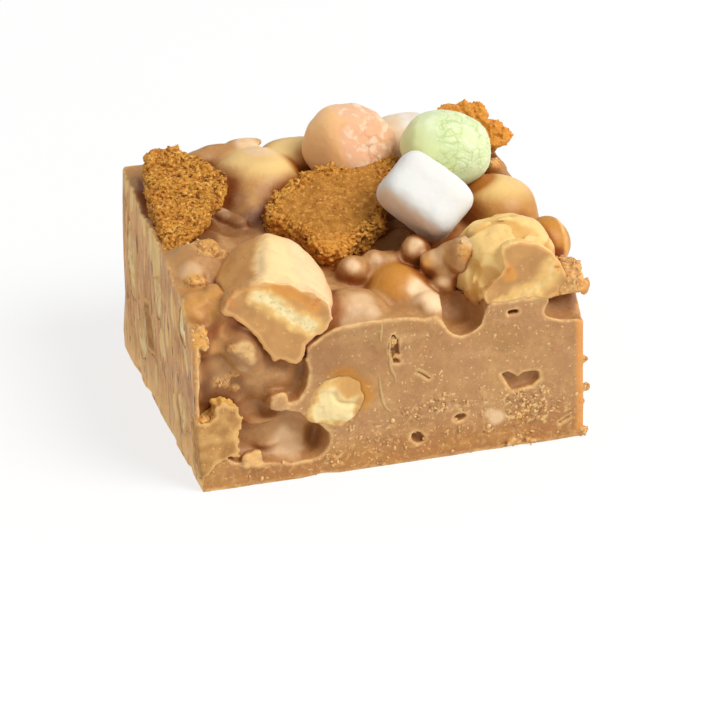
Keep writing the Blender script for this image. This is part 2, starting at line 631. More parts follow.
PROUD_BRICKS = (((-22.2, -23.5, 4.3), (1.5, 0.85, 1.6)),)
PROUD_CRUMBS = (
    ((29.8, -22.8, 25.0), (0.9, 1.0, 1.3)), ((29.0, -20.8, 27.4), (0.9, 0.9, 0.8)),
    ((30.1, -23.4, 8.2), (0.8, 0.7, 0.6)), ((29.9, -23.5, 6.0), (0.4, 0.4, 0.4)),
    ((29.8, -23.6, 13.2), (0.35, 0.4, 0.5)), ((30.0, -23.5, 0.9), (0.6, 0.5, 0.6)),
    ((18.6, -24.1, 0.8), (1.3, 0.4, 0.5)), ((21.4, -24.0, 0.7), (0.8, 0.4, 0.5)),
    ((-30.6, -22.6, 2.4), (0.6, 0.8, 0.7)),
)


def egg(x, y, z, at, half):
    """The field of an ellipsoid."""
    local = [v - a for v, a in zip((x, y, z), at)]
    share = np.sqrt(sum((v / h) ** 2 for v, h in zip(local, half)))
    away = np.sqrt(sum(v * v for v in local))
    return away * (1.0 - 1.0 / np.maximum(share, 0.05))


def crumb_lump(x, y, z, at, half, seed):
    """An ellipsoid of grains that are stuck together."""
    bend = 0.5 * bumps(x, y, z, 1.2, seed + 50)
    first, _ = grains(x + bend, y - bend, z + bend, 1.5, seed)
    rough = min(0.4, 0.6 * min(half)) * (first - 0.4)
    return egg(x, y, z, at, half) + rough + 0.25 * bumps(x, y, z, 1.0, seed + 20)


def brick(x, y, z, at, half, seed):
    """A bit of cut crust: a box with soft edges and uneven sides."""
    local = [np.abs(v - a) - h for v, a, h in zip((x, y, z), at, half)]
    sides = soft_max(soft_max(local[0], local[2], 1.1), local[1], 0.6)
    return sides + 0.3 * bumps(x, y, z, 1.3, seed) + 0.12 * bumps(x, y, z, 0.6, seed + 20)


# %% Hollows: a large one at the left of the front, and small ones
# Outlines on the front, as x and z.
CAVITY = (
    (-30.2, 25.5), (-26.2, 28.6), (-20.9, 25.3), (-15.4, 22.0), (-13.9, 20.5), (-13.4, 18.8), (-13.6, 15.8),
    (-14.8, 13.4), (-15.9, 12.9), (-17.0, 13.2), (-17.2, 12.2), (-16.2, 11.9), (-14.7, 11.2), (-12.8, 9.5),
    (-11.2, 8.2), (-10.1, 6.8), (-10.3, 4.9), (-11.6, 3.3), (-13.6, 2.9), (-16.4, 3.0), (-20.8, 3.5),
    (-25.5, 4.5), (-28.4, 8.8), (-30.2, 11.0), (-30.4, 14.7),
)
PIT = ((-0.4, 22.2), (0.4, 21.2), (0.6, 17.4), (-0.4, 17.3), (-1.1, 18.6), (-0.9, 20.9))
HEART = (
    (16.6, 12.9), (17.6, 13.1), (19.2, 12.0), (20.1, 12.7), (22.4, 12.5), (22.8, 11.2), (21.5, 10.1), (18.3, 9.7),
)
HOLLOWS = (
    ((10.6, -20.9, 23.0), (3.6, 4.4, 3.2)), ((27.9, -24.4, 22.7), (4.7, 3.6, 2.2)),
    ((3.3, -24.0, 4.2), (0.95, 1.3, 0.8)), ((3.9, -24.0, 3.6), (0.6, 1.0, 0.5)),
    ((9.9, -24.0, 6.4), (0.7, 1.1, 0.5)), ((10.6, -24.0, 6.6), (0.5, 0.8, 0.35)),
    ((5.6, -4.4, 29.6), (4.2, 4.4, 5.2)), ((-26.6, 0.2, 33.0), (4.0, 5.2, 3.2)),
    ((-29.9, -23.6, 12.0), (0.7, 1.8, 1.0)),
)
# Each slit is a line on the front, a radius and a depth.
SLITS = (
    (((3.6, 15.3), (4.5, 14.7), (5.2, 14.1)), 0.2, 0.35), (((17.8, 23.05), (18.8, 23.15)), 0.34, 1.4),
    (((-14.0, 20.4), (-14.1, 22.2), (-12.6, 23.2), (-11.2, 24.2), (-10.2, 25.0)), 0.3, 2.5),
    (((26.0, 3.0), (27.4, 3.8)), 0.16, 0.4),
)


def rounded_off(values, times):
    """Rounds the corners of an outline's field, a table over the front face."""
    for _ in range(times):
        wide = np.pad(values, 1, mode="edge")
        values = (wide[:-2, 1:-1] + wide[2:, 1:-1] + wide[1:-1, :-2] + wide[1:-1, 2:] + 2.0 * values) / 6.0
    return values


def front_hollows(x, y, z):
    """The large hollow with its smooth floor, the heart-shaped hole and the slits."""
    back = y - FRONT
    wave = 0.30 * bumps(x, 0 * y, z, 1.9, 51) + 0.12 * bumps(x, 0 * y, z, 0.8, 54)
    flat_x, flat_z = np.broadcast_arrays(x, z)
    outline = rounded_off(outside(CAVITY, flat_x, flat_z)[:, 0, :], 12)[:, None, :]
    wall = outline + wave + 0.16 * back
    depth = 3.0 + 1.6 * fade(z, 11.0, 15.0) + 2.0 * fade(x, -14.0, -11.0) * fade(z, 10.0, 6.0)
    floor = back - depth - 0.5 * bumps(x, 0 * y, z, 5.0, 52)
    result = soft_max(wall, floor, 1.8)
    heart = outside(HEART, flat_x, flat_z) + 0.4 * wave
    result = np.minimum(result, soft_max(heart + 0.25 * back, back - 1.2, 0.7))
    pit = outside(PIT, flat_x, flat_z) + 0.35 * bumps(x, 0 * y, z, 0.8, 55)
    result = np.minimum(result, soft_max(pit + 0.2 * back, back - 0.9, 0.5))
    for line, radius, deep in SLITS:
        slit = from_line(line, flat_x, flat_z) - radius + 0.35 * wave
        result = np.minimum(result, np.maximum(slit, back - deep))
    return result


# %% Lumps inside the large hollow
HOLLOW_LUMPS = (
    ((-18.6, -19.2, 16.9), (5.7, 3.5, 4.6)), ((-27.8, -19.6, 17.2), (2.6, 2.4, 5.4)),
    ((-20.6, -21.2, 10.0), (2.6, 1.6, 0.8)), ((-24.6, -20.0, 14.4), (2.4, 1.6, 2.6)),
    ((-25.6, -20.2, 19.4), (2.2, 1.5, 2.6)), ((-19.4, -21.2, 5.4), (1.1, 0.5, 0.32)),
)
HOLLOW_CRUMBS = (
    ((-26.9, -21.6, 17.4), (0.9, 0.6, 0.7)), ((-25.8, -21.6, 16.7), (0.7, 0.6, 0.7)),
    ((-25.2, -21.7, 17.7), (0.5, 0.5, 0.5)), ((-24.2, -21.7, 18.0), (0.45, 0.4, 0.4)),
    ((-24.2, -21.3, 15.6), (0.6, 0.4, 0.35)), ((-29.9, -23.3, 26.2), (1.1, 0.9, 1.7)),
    ((-29.3, -23.2, 24.6), (0.7, 0.8, 1.0)), ((-30.2, -23.4, 22.6), (0.5, 0.7, 1.0)),
    ((-24.9, -23.2, 23.4), (0.7, 0.5, 0.6)), ((-29.6, -23.2, 12.0), (1.0, 0.8, 0.6)),
    ((-0.3, -23.6, 20.8), (0.45, 0.5, 0.45)), ((-0.1, -23.6, 18.5), (0.4, 0.5, 0.4)),
)
BRICKS = (((-18.15, -22.4, 13.45), (1.45, 2.4, 1.5)),)

# %% Sample the block
BLOCK_CELL = 0.27
SEAT = -0.15  # the level of a held piece's field where the chocolate starts
SUNK = 0.5  # how much smaller a held piece counts when the chocolate climbs it
SHELL = 0.65  # the thickness of the chocolate over a covered piece
FRONT_DEPTH = 8.0
grid = Grid((-33.2, -25.2, -1.0), (31.9, 25.2, 36.0), BLOCK_CELL)
x, y, z = grid.points()
field = (z - top_level(x, y)) * 0.9


def add_lumps(values, lumps, make, width, seed):
    for number, (at, half) in enumerate(lumps):
        part = grid.window(at, [h + 2.5 for h in half])
        values[part] = soft_min(values[part], make(*grid.points(part), at, half, seed + number), width)


def smooth_lump(x, y, z, at, half, seed):
    return egg(x, y, z, at, half) + 0.3 * bumps(x, y, z, 1.9, seed)


def glossy_lump(x, y, z, at, half, seed):
    return egg(x, y, z, at, half) + 0.26 * bumps(x, y, z, 2.4, seed)


add_lumps(field, SWELLS, smooth_lump, 1.5, 40)
add_lumps(field, LUMPS, glossy_lump, 1.1, 60)
add_lumps(field, FLAKES, glossy_lump, 0.25, 70)
add_lumps(field, CRUMB_LUMPS, crumb_lump, 0.5, 40)
for piece in HELD.values():
    part = grid.window(piece.at, [piece.reach + 3.0] * 3)
    seat = piece.field(*grid.points(part)) + (-piece.cover if piece.cover else SUNK)
    field[part] = soft_min(field[part], seat, piece.climb)
free = soft_max(field, -z, 0.4)

hollow = np.full(field.shape, FAR_AWAY, dtype=np.float32)
for number, (at, half) in enumerate(HOLLOWS):
    part = grid.window(at, [h + 2.5 for h in half])
    px, py, pz = grid.points(part)
    open_part = egg(px, py, pz, at, half) + min(0.3, 0.25 * min(half)) * bumps(px, py, pz, 1.6, 60 + number)
    hollow[part] = soft_min(hollow[part], open_part, 0.6)
part = (slice(None), slice(0, int(FRONT_DEPTH / BLOCK_CELL)), slice(None))
hollow[part] = np.minimum(hollow[part], front_hollows(*grid.points(part)))
free = soft_max(free, -hollow, 0.2)
add_lumps(free, HOLLOW_LUMPS, glossy_lump, 1.6, 80)
add_lumps(free, HOLLOW_CRUMBS, crumb_lump, 0.5, 90)
add_lumps(free, BRICKS, brick, 0.4, 100)

sliced = knife(x, y, z)
solid = free.copy()
for piece in HELD.values():
    part = grid.window(piece.at, [piece.reach + 6.0] * 3)
    solid[part] = np.minimum(solid[part], piece.field(*grid.points(part)))
solid = np.maximum(solid, sliced)
field = np.maximum(free, sliced)
for piece in HELD.values():
    if piece.cover:
        part = grid.window(piece.at, [piece.reach + 2.0] * 3)
        px, py, pz = grid.points(part)
        shell = piece.field(px, py, pz) - piece.cover
        if piece.side:
            shell = np.maximum(shell, CUTS[piece.side](px, py, pz))
        field[part] = soft_min(field[part], shell, 0.4 if piece.side else 0.9)
add_lumps(field, PROUD_BRICKS, brick, 0.3, 104)
add_lumps(field, PROUD_CRUMBS, crumb_lump, 0.3, 110)
field = np.maximum(field, -z)
for piece in HELD.values():
    part = grid.window(piece.at, [piece.reach + 1.0] * 3)
    seat = SEAT - piece.field(*grid.points(part)) - (SHELL - piece.cover if piece.cover else 0.0)
    field[part] = np.maximum(field[part], seat)
places, quads = draw_surface(field, grid)
print("block surface:", len(places), "vertices")

# %% Mesh it, and mark what each place on it is
BLOCK_TRIANGLES = 192000
FAR_SIDES = 0.9  # how plain the faces are that the camera doesn't see
raw = mesh_of("block_raw", places, quads)
px, py, pz = places.T
seen = np.maximum(fade(px, RIGHT - 1.2, RIGHT - 2.0), fade(pz, 21.0, 22.0))
seen = np.maximum(seen, fade(py, FRONT + 1.5, FRONT + 1.0)) * fade(pz, 0.2, 0.6)
seen *= np.maximum(fade(py, 23.5, 22.5), fade(pz, 27.0, 28.0))
buried = grid.sample(free, places) < -0.5
on_side = knife(*places.T) > -0.6
plain = np.where(buried & ~on_side, 1.0, FAR_SIDES * (1.0 - seen) + 0.12)
block_mesh = thinned(raw, BLOCK_TRIANGLES, plain, "block_chocolate")
at = places_of(block_mesh)
facing = normals_of(block_mesh)
vx, vy, vz = at.T
on_cut = knife(vx, vy, vz)
from_free = grid.sample(free, at)
cut_mark = fade(on_cut, -0.30, -0.05) * fade(on_cut, 0.9, 0.4)
left_mark = fade(cut_left(vx, vy, vz), -0.45, -0.1)
shut_in = np.zeros(len(at))
for far, share in ((1.5, 0.3), (3.5, 0.4), (6.5, 0.3)):
    shut_in += share * (1.0 - np.clip(grid.sample(solid, at + facing * far) / far, 0.0, 1.0))
mark(block_mesh, "cut", cut_mark)
front_mark = cut_mark * fade(facing[:, 1], -0.4, -0.8)
mark(block_mesh, "rim", cut_mark * (1.0 - fade(-from_free, 0.1, 0.7)))
mark(block_mesh, "edge", front_mark * fade(cut_right(vx, vy, vz), -1.7, -0.8))
mark(block_mesh, "low", cut_mark * fade(vz, 8.0, 1.0))
crumb_mark = np.zeros(len(at))
for lumps in (CRUMB_LUMPS, HOLLOW_CRUMBS, PROUD_CRUMBS):
    for middle, half in lumps:
        crumb_mark = np.maximum(crumb_mark, fade(egg(vx, vy, vz, middle, half), 0.5, 0.0))
mark(block_mesh, "crumb", crumb_mark)
in_front = fade(vy, -17.5, -19.5) * fade(vz, 26.0, 22.0)
open_share = (1.0 - cut_mark) * (1.0 - 0.5 * in_front) * (1.0 - 0.6 * crumb_mark)
mark(block_mesh, "deep", fade(shut_in, 0.2, 0.85) * open_share)
mark(block_mesh, "left", left_mark * cut_mark)

# %% [markdown]
# The chocolate is thin where it laps a marshmallow, and the marshmallow's cream glows through it.
# On the left face the knife dragged marshmallow along the cut, and left pale smears. Both are marks
# on the mesh too, for the chocolate's material to read.

# %% Mark the glow and the smears
# Each smear: y, z, half width and half height.
SMEARS = (
    (0.0, 29.0, 4.4, 5.0), (-2.4, 14.6, 1.9, 3.6), (-11.6, 24.5, 1.6, 3.6), (-8.8, 7.0, 1.4, 3.2),
    (16.4, 30.0, 1.8, 3.2), (7.6, 31.0, 2.3, 4.0), (-19.5, 22.0, 1.0, 5.0), (20.8, 31.0, 1.2, 3.0),
    (2.4, 6.0, 0.9, 3.0), (-6.4, 18.0, 0.9, 3.5),
)
# Each glow: amber share, cream share, reach, and the direction in which it shows.
GLOWS = {
    "marshmallow_centre": (0.9, 0.0, 1.4, (-0.1, -0.5, 0.85)),
    "marshmallow_back_left": (0.35, 1.0, 2.2, (0.2, 0.1, 0.95)),
    "marshmallow_back": (0.25, 1.2, 2.2, (0.0, -0.3, 0.93)),
    "marshmallow_back_right": (0.55, 0.75, 2.0, (0.1, 0.1, 0.97)),
    "marshmallow_corner": (0.35, 0.1, 1.4, (0.3, -0.5, 0.6)),
    "nut_right": (0.75, 0.1, 1.2, (0.6, -0.3, 0.6)),
    "nut_front": (0.1, 0.15, 1.0, (0.6, -0.2, -0.8)),
    "marshmallow_front_right": (0.5, 0.0, 1.4, (0.0, 0.0, 1.0)),
    "marshmallow_front_low": (0.75, 0.0, 2.6, (0.75, 0.0, 0.65)),
    "marshmallow_left_back": (0.3, 0.0, 0.9, (0.0, 0.0, 1.0)),
    "marshmallow_left_middle": (0.3, 0.0, 0.9, (0.0, 0.0, 1.0)),
    "marshmallow_left_low": (0.2, 0.0, 0.8, (0.0, 0.0, 1.0)),
}
# Patches of another shade: middle, radius and share.
PATCHES = {
    "dark": (
        ((-16.9, 3.2, 29.9), 5.0, 0.75), ((-24.4, -3.8, 31.6), 2.4, 0.9), ((-21.4, 3.0, 30.4), 2.6, 1.0),
        ((-15.8, 8.0, 30.6), 3.0, 0.6), ((-16.8, -0.6, 29.0), 3.2, 0.45), ((24.4, 12.6, 28.6), 3.0, 0.6),
        ((-8.0, -24.0, 21.0), 9.0, 0.25), ((14.9, -22.4, 28.4), 2.6, 0.4), ((-0.3, -23.4, 19.8), 2.0, 0.5),
        ((-27.0, -19.8, 15.0), 5.4, 0.7), ((-22.8, -22.4, 22.3), 4.0, 0.45), ((-22.9, 0.0, 30.8), 3.0, 1.0),
        ((-13.4, -21.4, 16.6), 1.9, 0.8), ((-14.0, -22.6, 20.7), 1.8, 0.9), ((4.1, -8.6, 28.6), 2.6, 0.8),
    ),
    "gold": (
        ((-29.7, -23.4, 25.8), 2.0, 0.9), ((-30.0, -23.4, 22.4), 1.2, 0.7), ((-27.4, -20.4, 29.4), 4.2, 0.45),
        ((-22.4, -23.6, 4.4), 1.8, 0.3), ((-29.8, -23.2, 12.0), 1.4, 0.7), ((-24.3, -7.9, 32.4), 2.4, 0.5),
        ((-27.9, -14.2, 30.6), 2.0, 0.8), ((12.4, -18.0, 31.0), 1.6, 0.8), ((7.0, -15.8, 29.2), 1.7, 0.8),
        ((25.6, 8.6, 31.4), 1.8, 0.6), ((30.0, -22.6, 24.4), 2.0, 0.4), ((20.0, -24.0, 5.0), 1.6, 0.3),
    ),
    "light": (
        ((6.5, -21.0, 25.6), 2.8, 1.0), ((5.9, -17.6, 26.2), 2.4, 0.9), ((-9.4, 16.8, 33.8), 2.8, 1.0),
        ((-3.0, -22.6, 26.0), 2.0, 0.5), ((-4.4, -20.5, 26.8), 2.6, 0.5), ((-3.6, -12.2, 28.6), 1.6, 0.7),
        ((1.0, -11.0, 28.4), 1.2, 0.4), ((7.2, -11.4, 29.8), 1.8, 0.7), ((9.0, -15.4, 29.8), 1.6, 0.5),
        ((13.4, -17.4, 32.4), 1.8, 0.6), ((9.7, -16.6, 25.9), 1.2, 0.6), ((-16.6, -21.4, 4.9), 3.4, 0.5),
        ((-28.0, -12.4, 31.0), 2.4, 0.4), ((-23.4, -23.0, 19.6), 1.1, 0.3), ((-6.9, -22.0, 25.6), 3.2, 0.35),
        ((16.0, -24.0, 5.6), 1.5, 0.6), ((14.9, -24.0, 6.4), 1.0, 0.5), ((-20.6, 6.6, 31.9), 1.5, 0.9),
        ((-18.4, 4.8, 31.4), 1.4, 0.7), ((-10.0, 21.6, 34.2), 2.4, 0.9), ((-26.2, -21.6, 17.3), 1.8, 0.25),
    ),
}
amber = np.zeros(len(at))
cream = np.zeros(len(at))
for name, (amber_share, cream_share, far, bare) in GLOWS.items():
    piece = HELD[name]
    near = 1.0 - fade(piece.field(vx, vy, vz), 0.45, far)
    away = at - np.array(piece.at)
    turned = away @ np.array(bare) / (np.linalg.norm(away, axis=1) + 0.01)
    turned += 0.07 * bumps(vx, vy, vz, 3.0, 48)
    near *= fade(turned, -0.7, 0.2) if piece.side != "front" else fade(turned, 0.0, 0.7)
    amber = np.maximum(amber, near * amber_share)
    cream = np.maximum(cream, near * cream_share * fade(turned, 0.1, 0.9))
streak = bumps(0 * vx, vy, vz * 0.18, 0.7, 45)
smear = np.zeros(len(at))
for sy, sz, half_y, half_z in SMEARS:
    away = np.sqrt(((vy - sy) / half_y) ** 2 + ((vz - sz) / half_z) ** 2)
    smear = np.maximum(smear, fade(away + 0.35 * streak, 1.05, 0.65))
smear = smear * left_mark
wander = 0.25 * bumps(vx, vy, vz, 1.6, 57)
for name, patches in PATCHES.items():
    total = np.zeros(len(at))
    for middle, radius, share in patches:
        away = np.linalg.norm(at - np.array(middle), axis=1) / radius + wander
        total = np.maximum(total, share * fade(away, 1.1, 0.4))
    mark(block_mesh, name, total)
for name, values in (("amber", amber), ("cream", cream), ("smear", smear)):
    mark(block_mesh, name, values)
loose = crumbly(vx, vy, vz) * fade(cut_front(vx, vy, vz), -0.9, -0.3) * fade(vz, 25.0, 23.0)
mark(block_mesh, "loose", np.maximum(loose, 0.8 * crumb_mark * fade(facing[:, 2], -0.6, 0.1)))
block = show(block_mesh)
print("block:", len(block_mesh.polygons), "faces")

# %% [markdown]
# ## The marshmallows and nuts
#
# Each rounded piece gets a grid of its own, finer than the block's where its skin is seen. A whole
# marshmallow has a dry skin that wrinkles and cracks, and a coated one has a film of chocolate that ran
# off it unevenly. The film is real relief: it adds a little thickness, so its edges catch the light.
# Fine detail is added only near the surface, because the field is never drawn anywhere else.

# %% Fine relief near a surface
SKIN_CELL = 0.17


def add_near(field, grid, depth, detail):
    """Adds detail(x, y, z) to the field where it is within this depth of its surface."""
    near = np.nonzero(np.abs(field) < depth)
    field[near] += detail(*[axis[index] for axis, index in zip(grid.axes, near)])


def around(piece, cell):
    return Grid([a - piece.reach - 1.0 for a in piece.at], [a + piece.reach + 1.0 for a in piece.at], cell)


def full(piece, grid):
    """The piece's field. A covered piece is smaller by its shell of chocolate."""
    smaller = SHELL - piece.cover if piece.cover else 0.0
    return (piece.field(*grid.points()) + smaller).astype(np.float32)


# %% Whole marshmallows
def crackle(x, y, z, size, seed):
    """Fine cracks between plates of skin: 1 in a crack and 0 away from it."""
    bend = 0.5 * bumps(x, y, z, 1.3, seed + 1)
    first, second = grains(x + bend, y, (z - bend) * 1.5, size, seed)
    return 1.0 - fade(second - first, 0.0, 0.13)


def green_cracks(x, y, z):
    lx = ROUNDED["marshmallow_green"].inside(x, y, z)[0]
    some = fade(bumps(x, y, z, 2.6, 103), -0.5, 0.1)
    both = np.maximum(crackle(x, y, z, 2.2, 101), 0.6 * crackle(x, y, z, 1.1, 108))
    return both * fade(lx, -3.4, -1.6) * some


def pink_cracks(x, y, z):
    lx = ROUNDED["marshmallow_pink"].inside(x, y, z)[0]
    some = fade(bumps(x, y, z, 2.4, 113), -0.1, 0.4)
    return crackle(x, y, z, 2.1, 111) * fade(lx, -2.0, 0.0) * some


def pink_skin(x, y, z):
    rough = fade(ROUNDED["marshmallow_pink"].inside(x, y, z)[0], -2.2, -1.2)
    soft = 0.22 * bumps(x, y, z, 2.4, 115) + (0.04 + 0.16 * rough) * bumps(x, y, z, 1.2, 116)
    return 0.16 * pink_cracks(x, y, z) + soft + (0.02 + 0.05 * rough) * bumps(x, y, z, 0.5, 117)


def green_skin(x, y, z):
    soft = 0.20 * bumps(x, y, z, 2.6, 105) + 0.06 * bumps(x, y, z, 1.0, 106)
    return 0.15 * green_cracks(x, y, z) + soft + 0.02 * bumps(x, y, z, 0.45, 107)


def white_skin(x, y, z):
    return 0.14 * bumps(x, y, z, 2.8, 121) + 0.06 * bumps(x, y, z, 1.2, 122) + 0.02 * bumps(x, y, z, 0.5, 123)


def no_cracks(x, y, z):
    return 0.0 * x


# The skin, its cracks, the direction in which it is paler, and how much paler it is all over.
WHOLE = {
    "marshmallow_pink": (pink_skin, pink_cracks, (0.93, -0.3, 0.2), -0.1),
    "marshmallow_green": (green_skin, green_cracks, (0.9, -0.2, 0.4), 0.0),
    "marshmallow_white": (white_skin, no_cracks, (0.71, 0.17, 0.68), 0.74),
    "marshmallow_white_back": (white_skin, no_cracks, (0.5, -0.2, 0.85), -0.95),
}
made = {}
for name, (skin, cracks, sunny, lift) in WHOLE.items():
    piece = ROUNDED[name]
    near = around(piece, SKIN_CELL)
    values = full(piece, near)
    add_near(values, near, 0.8, skin)
    mesh = mesh_of(name + "_skin", *draw_surface(values, near))
    at = places_of(mesh)
    mark(mesh, "crack", cracks(*at.T))
    mark(mesh, "sunny", normals_of(mesh) @ np.array(sunny) + lift)
    made[name] = show(mesh)
    print(name, len(mesh.polygons), "faces")

# %% [markdown]
# A film of chocolate runs off the top of a coated piece and stays thicker round its foot. So each one
# has a *bare* direction, where the film is thinnest. A share of 0 is bare marshmallow, and 1 is a film
# that hides it.

# %% Coated marshmallows and nuts
# The bare direction, the turns from it at which the film starts and is full, and how it wanders.
COATED = {
    "marshmallow_front_left": ((0.487, -0.323, 0.811), 0.72, 0.40, 0.10),
    "marshmallow_front_right": ((-0.45, 0.1, 0.88), 0.25, -0.35, 0.35),
    "marshmallow_back_right": ((-0.1, -0.2, 0.95), 1.5, 0.2, 0.3),
    "marshmallow_centre": ((0.2, -0.3, 0.9), 1.5, 0.2, 0.3),
    "marshmallow_back_left": ((0.1, 0.15, 0.95), 1.5, 0.2, 0.3),
    "marshmallow_back": ((0.5, -0.2, 0.8), 1.5, 0.2, 0.3),
    "marshmallow_corner": ((-0.3, -0.5, 0.7), 1.5, 0.2, 0.3),
    "nut_right": ((0.3, -0.3, 0.9), 1.5, 0.2, 0.3),
    "nut_front": ((0.3, -0.3, -0.9), 1.5, 0.2, 0.3),
}
COVERED_CELL = 0.34
FILM = 0.2
# Places and lines on the cut faces, as x and z. STAINS are places in the block.
NOTCH = (-6.7, 15.0)
SLOT = ((-21.0, 31.6), (-18.8, 30.0), (-16.7, 28.1), (-14.7, 26.5), (-12.6, 25.4))
CRESCENT = ((16.6, 25.0), (19.4, 25.6), (21.3, 26.0), (22.8, 27.0), (23.8, 28.6), (24.2, 30.0))
CREAMS = {"marshmallow_front_left": SLOT, "marshmallow_front_right": CRESCENT}
WARMTHS = {
    "marshmallow_front_left": ((-19.4, 32.9), (-15.4, 31.2), (-12.4, 28.6)),
    "marshmallow_front_right": ((17.2, 30.8), (17.6, 29.4)),
}
SCRATCH = ((-25.4, 31.9), (-24.9, 31.0), (-24.6, 30.2))
SPOTS = ((-12.6, 28.8), (-12.0, 29.6), (25.0, 29.6), (17.3, 30.4))
STAINS = ((-17.3, -20.4, 36.4), (-12.1, -23.4, 31.3))
HALOS = {
    "marshmallow_front_left": SLOT,
    "marshmallow_front_right": ((19.4, 26.0), (22.4, 26.9), (23.9, 28.4), (24.0, 30.2)),
}


def film_on(name, x, y, z):
    """0 where the marshmallow is bare, 1 where the film hides it."""
    piece = ROUNDED[name]
    bare, thin, thick, wander = COATED[name]
    away = [v - a for v, a in zip((x, y, z), piece.at)]
    length = np.sqrt(sum(v * v for v in away)) + 0.01
    turned = sum(a * b for a, b in zip(away, bare)) / length
    noise = bumps(x, y, z, 4.2, 131) + 0.5 * bumps(x, y, z, 1.7, 132)
    return fade(turned + wander * noise, thin, thick)


def folds(name, x, y, z):
    """Creases and dents in the soft body of the piece at the front right."""
    if name != "marshmallow_front_right":
        return 0.0 * x
    crease = fade(np.abs(bumps(x, y, z, 3.4, 171) + 0.1), 0.24, 0.0)
    hollow_side = fade((x - 14.9) ** 2 + (y + 22.4) ** 2 + (z - 28.6) ** 2, 6.0, 0.5)
    return (0.5 * crease + 0.35 * bumps(x, y, z, 2.4, 172)) * fade(y, -21.4, -20.6) + 0.6 * hollow_side


def notch(x, y, z):
    """Where chocolate fills the upper right of the low cut marshmallow, so that its foam is a crescent."""
    away = np.hypot(x - NOTCH[0], z - NOTCH[1]) + 0.6 * bumps(x, 0 * y, z, 1.4, 149)
    return fade(away, 3.4, 1.6)


def core_on(name, x, y, z):
    """How far a place on a cut face is in the marshmallow's pale foam."""
    if name in CREAMS:
        wave = 0.3 * bumps(x, y, z, 1.3, 141) + 0.12 * bumps(x, y, z, 0.6, 147)
        share = 1.0 if name == "marshmallow_front_left" else 0.6
        return share * fade(from_line(CREAMS[name], x, z) + 1.4 * wave, 2.4, 0.2)
    inner = fade(-ROUNDED[name].field(x, y, z) + 0.9 * bumps(x, y, z, 1.6, 142), 0.3, 1.5)
    return inner * (1.0 - notch(x, y, z)) if name == "marshmallow_front_low" else inner


SET_IN = 0.06


def side_cuts(piece, x, y, z):
    """The field of the knife's cut through this piece, a little inside the cut through the block."""
    sides = ("front", "left") if piece.side == "corner" else (piece.side,)
    return knife(x, y, z, sides) + SET_IN + 0.05 * bumps(x, y, z, 1.3, 143)


def cut_through(values, piece, near, torn=None):
    """The field of the knife's cut on this grid, with the relief of a torn face."""
    sliced = np.broadcast_to(side_cuts(piece, *near.points()), values.shape).copy()
    if torn:
        add_near(sliced, near, 0.8, torn)
    return sliced


for name in COATED:
    piece = ROUNDED[name]
    near = around(piece, COVERED_CELL if piece.cover else SKIN_CELL)
    values = full(piece, near)

    def coating(x, y, z):
        soft = 0.22 * bumps(x, y, z, 2.7, 133) + 0.07 * bumps(x, y, z, 1.0, 134)
        return soft + folds(name, x, y, z) - FILM * film_on(name, x, y, z)

    if not piece.cover:
        add_near(values, near, 1.2, coating)
    if piece.side:

        def torn(x, y, z):
            pores = 0.35 * np.maximum(bumps(x, y, z, 0.75, 144), 0.0) + 0.2 * bumps(x, y, z, 1.6, 145)
            dents = 0.16 * bumps(x, y, z, 2.8, 154) + 0.08 * bumps(x, y, z, 1.0, 146)
            return core_on(name, x, y, z) ** 2 * (0.1 + pores) + dents

        values = soft_max(values, cut_through(values, piece, near, torn), 0.2)
    mesh = mesh_of(name + "_coated", *draw_surface(values, near))
    at = places_of(mesh)
    cut = fade(side_cuts(piece, *at.T), -0.75, -0.35) if piece.side else 0.0 * at[:, 0]
    cut = cut * fade(-piece.field(*at.T), -0.1, 0.35)
    mark(mesh, "cut", cut)
    mark(mesh, "film", film_on(name, *at.T))
    mark(mesh, "core", core_on(name, *at.T) * cut)
    if piece.face:
        vx, _, vz = at.T
        wave = 0.4 * bumps(*at.T, 1.9, 173)
        mark(mesh, "warm", fade(from_line(WARMTHS[name], vx, vz) + wave, 1.5, 0.4))
        mark(mesh, "halo", fade(from_line(HALOS[name], vx, vz) + wave, 2.4, 0.6))
        mark(mesh, "rim", fade(outside(piece.face, vx, vz) + 0.5 * wave, -0.75, -0.2))
        mark(mesh, "fold", fade(folds(name, *at.T), 0.1, 0.5))
        front_left = name == "marshmallow_front_left"
        mark(mesh, "peach", fade(vx, -16.0, -12.5) * front_left)
        away = [np.linalg.norm(at - np.array(place), axis=1) for place in STAINS]
        mark(mesh, "stain", fade(np.minimum.reduce(away) + 0.5 * wave, 0.9, 0.5))
        mark(mesh, "pale", (1.0 - film_on(name, *at.T)) * front_left)
        scratch = from_line(SCRATCH, vx, vz) + 0.5 * wave
        spots = [np.hypot(vx - sx, vz - sz) for sx, sz in SPOTS]
        mark(mesh, "scratch", np.maximum(fade(scratch, 0.7, 0.2), fade(np.minimum.reduce(spots), 0.7, 0.3)))
    made[name] = show(mesh)
    print(name, len(mesh.polygons), "faces")

# %% [markdown]
# The knife slices the marshmallows at the sides of the block. Their cut faces lie in the cut, torn
# and porous, with the tan of smeared chocolate at their rims.

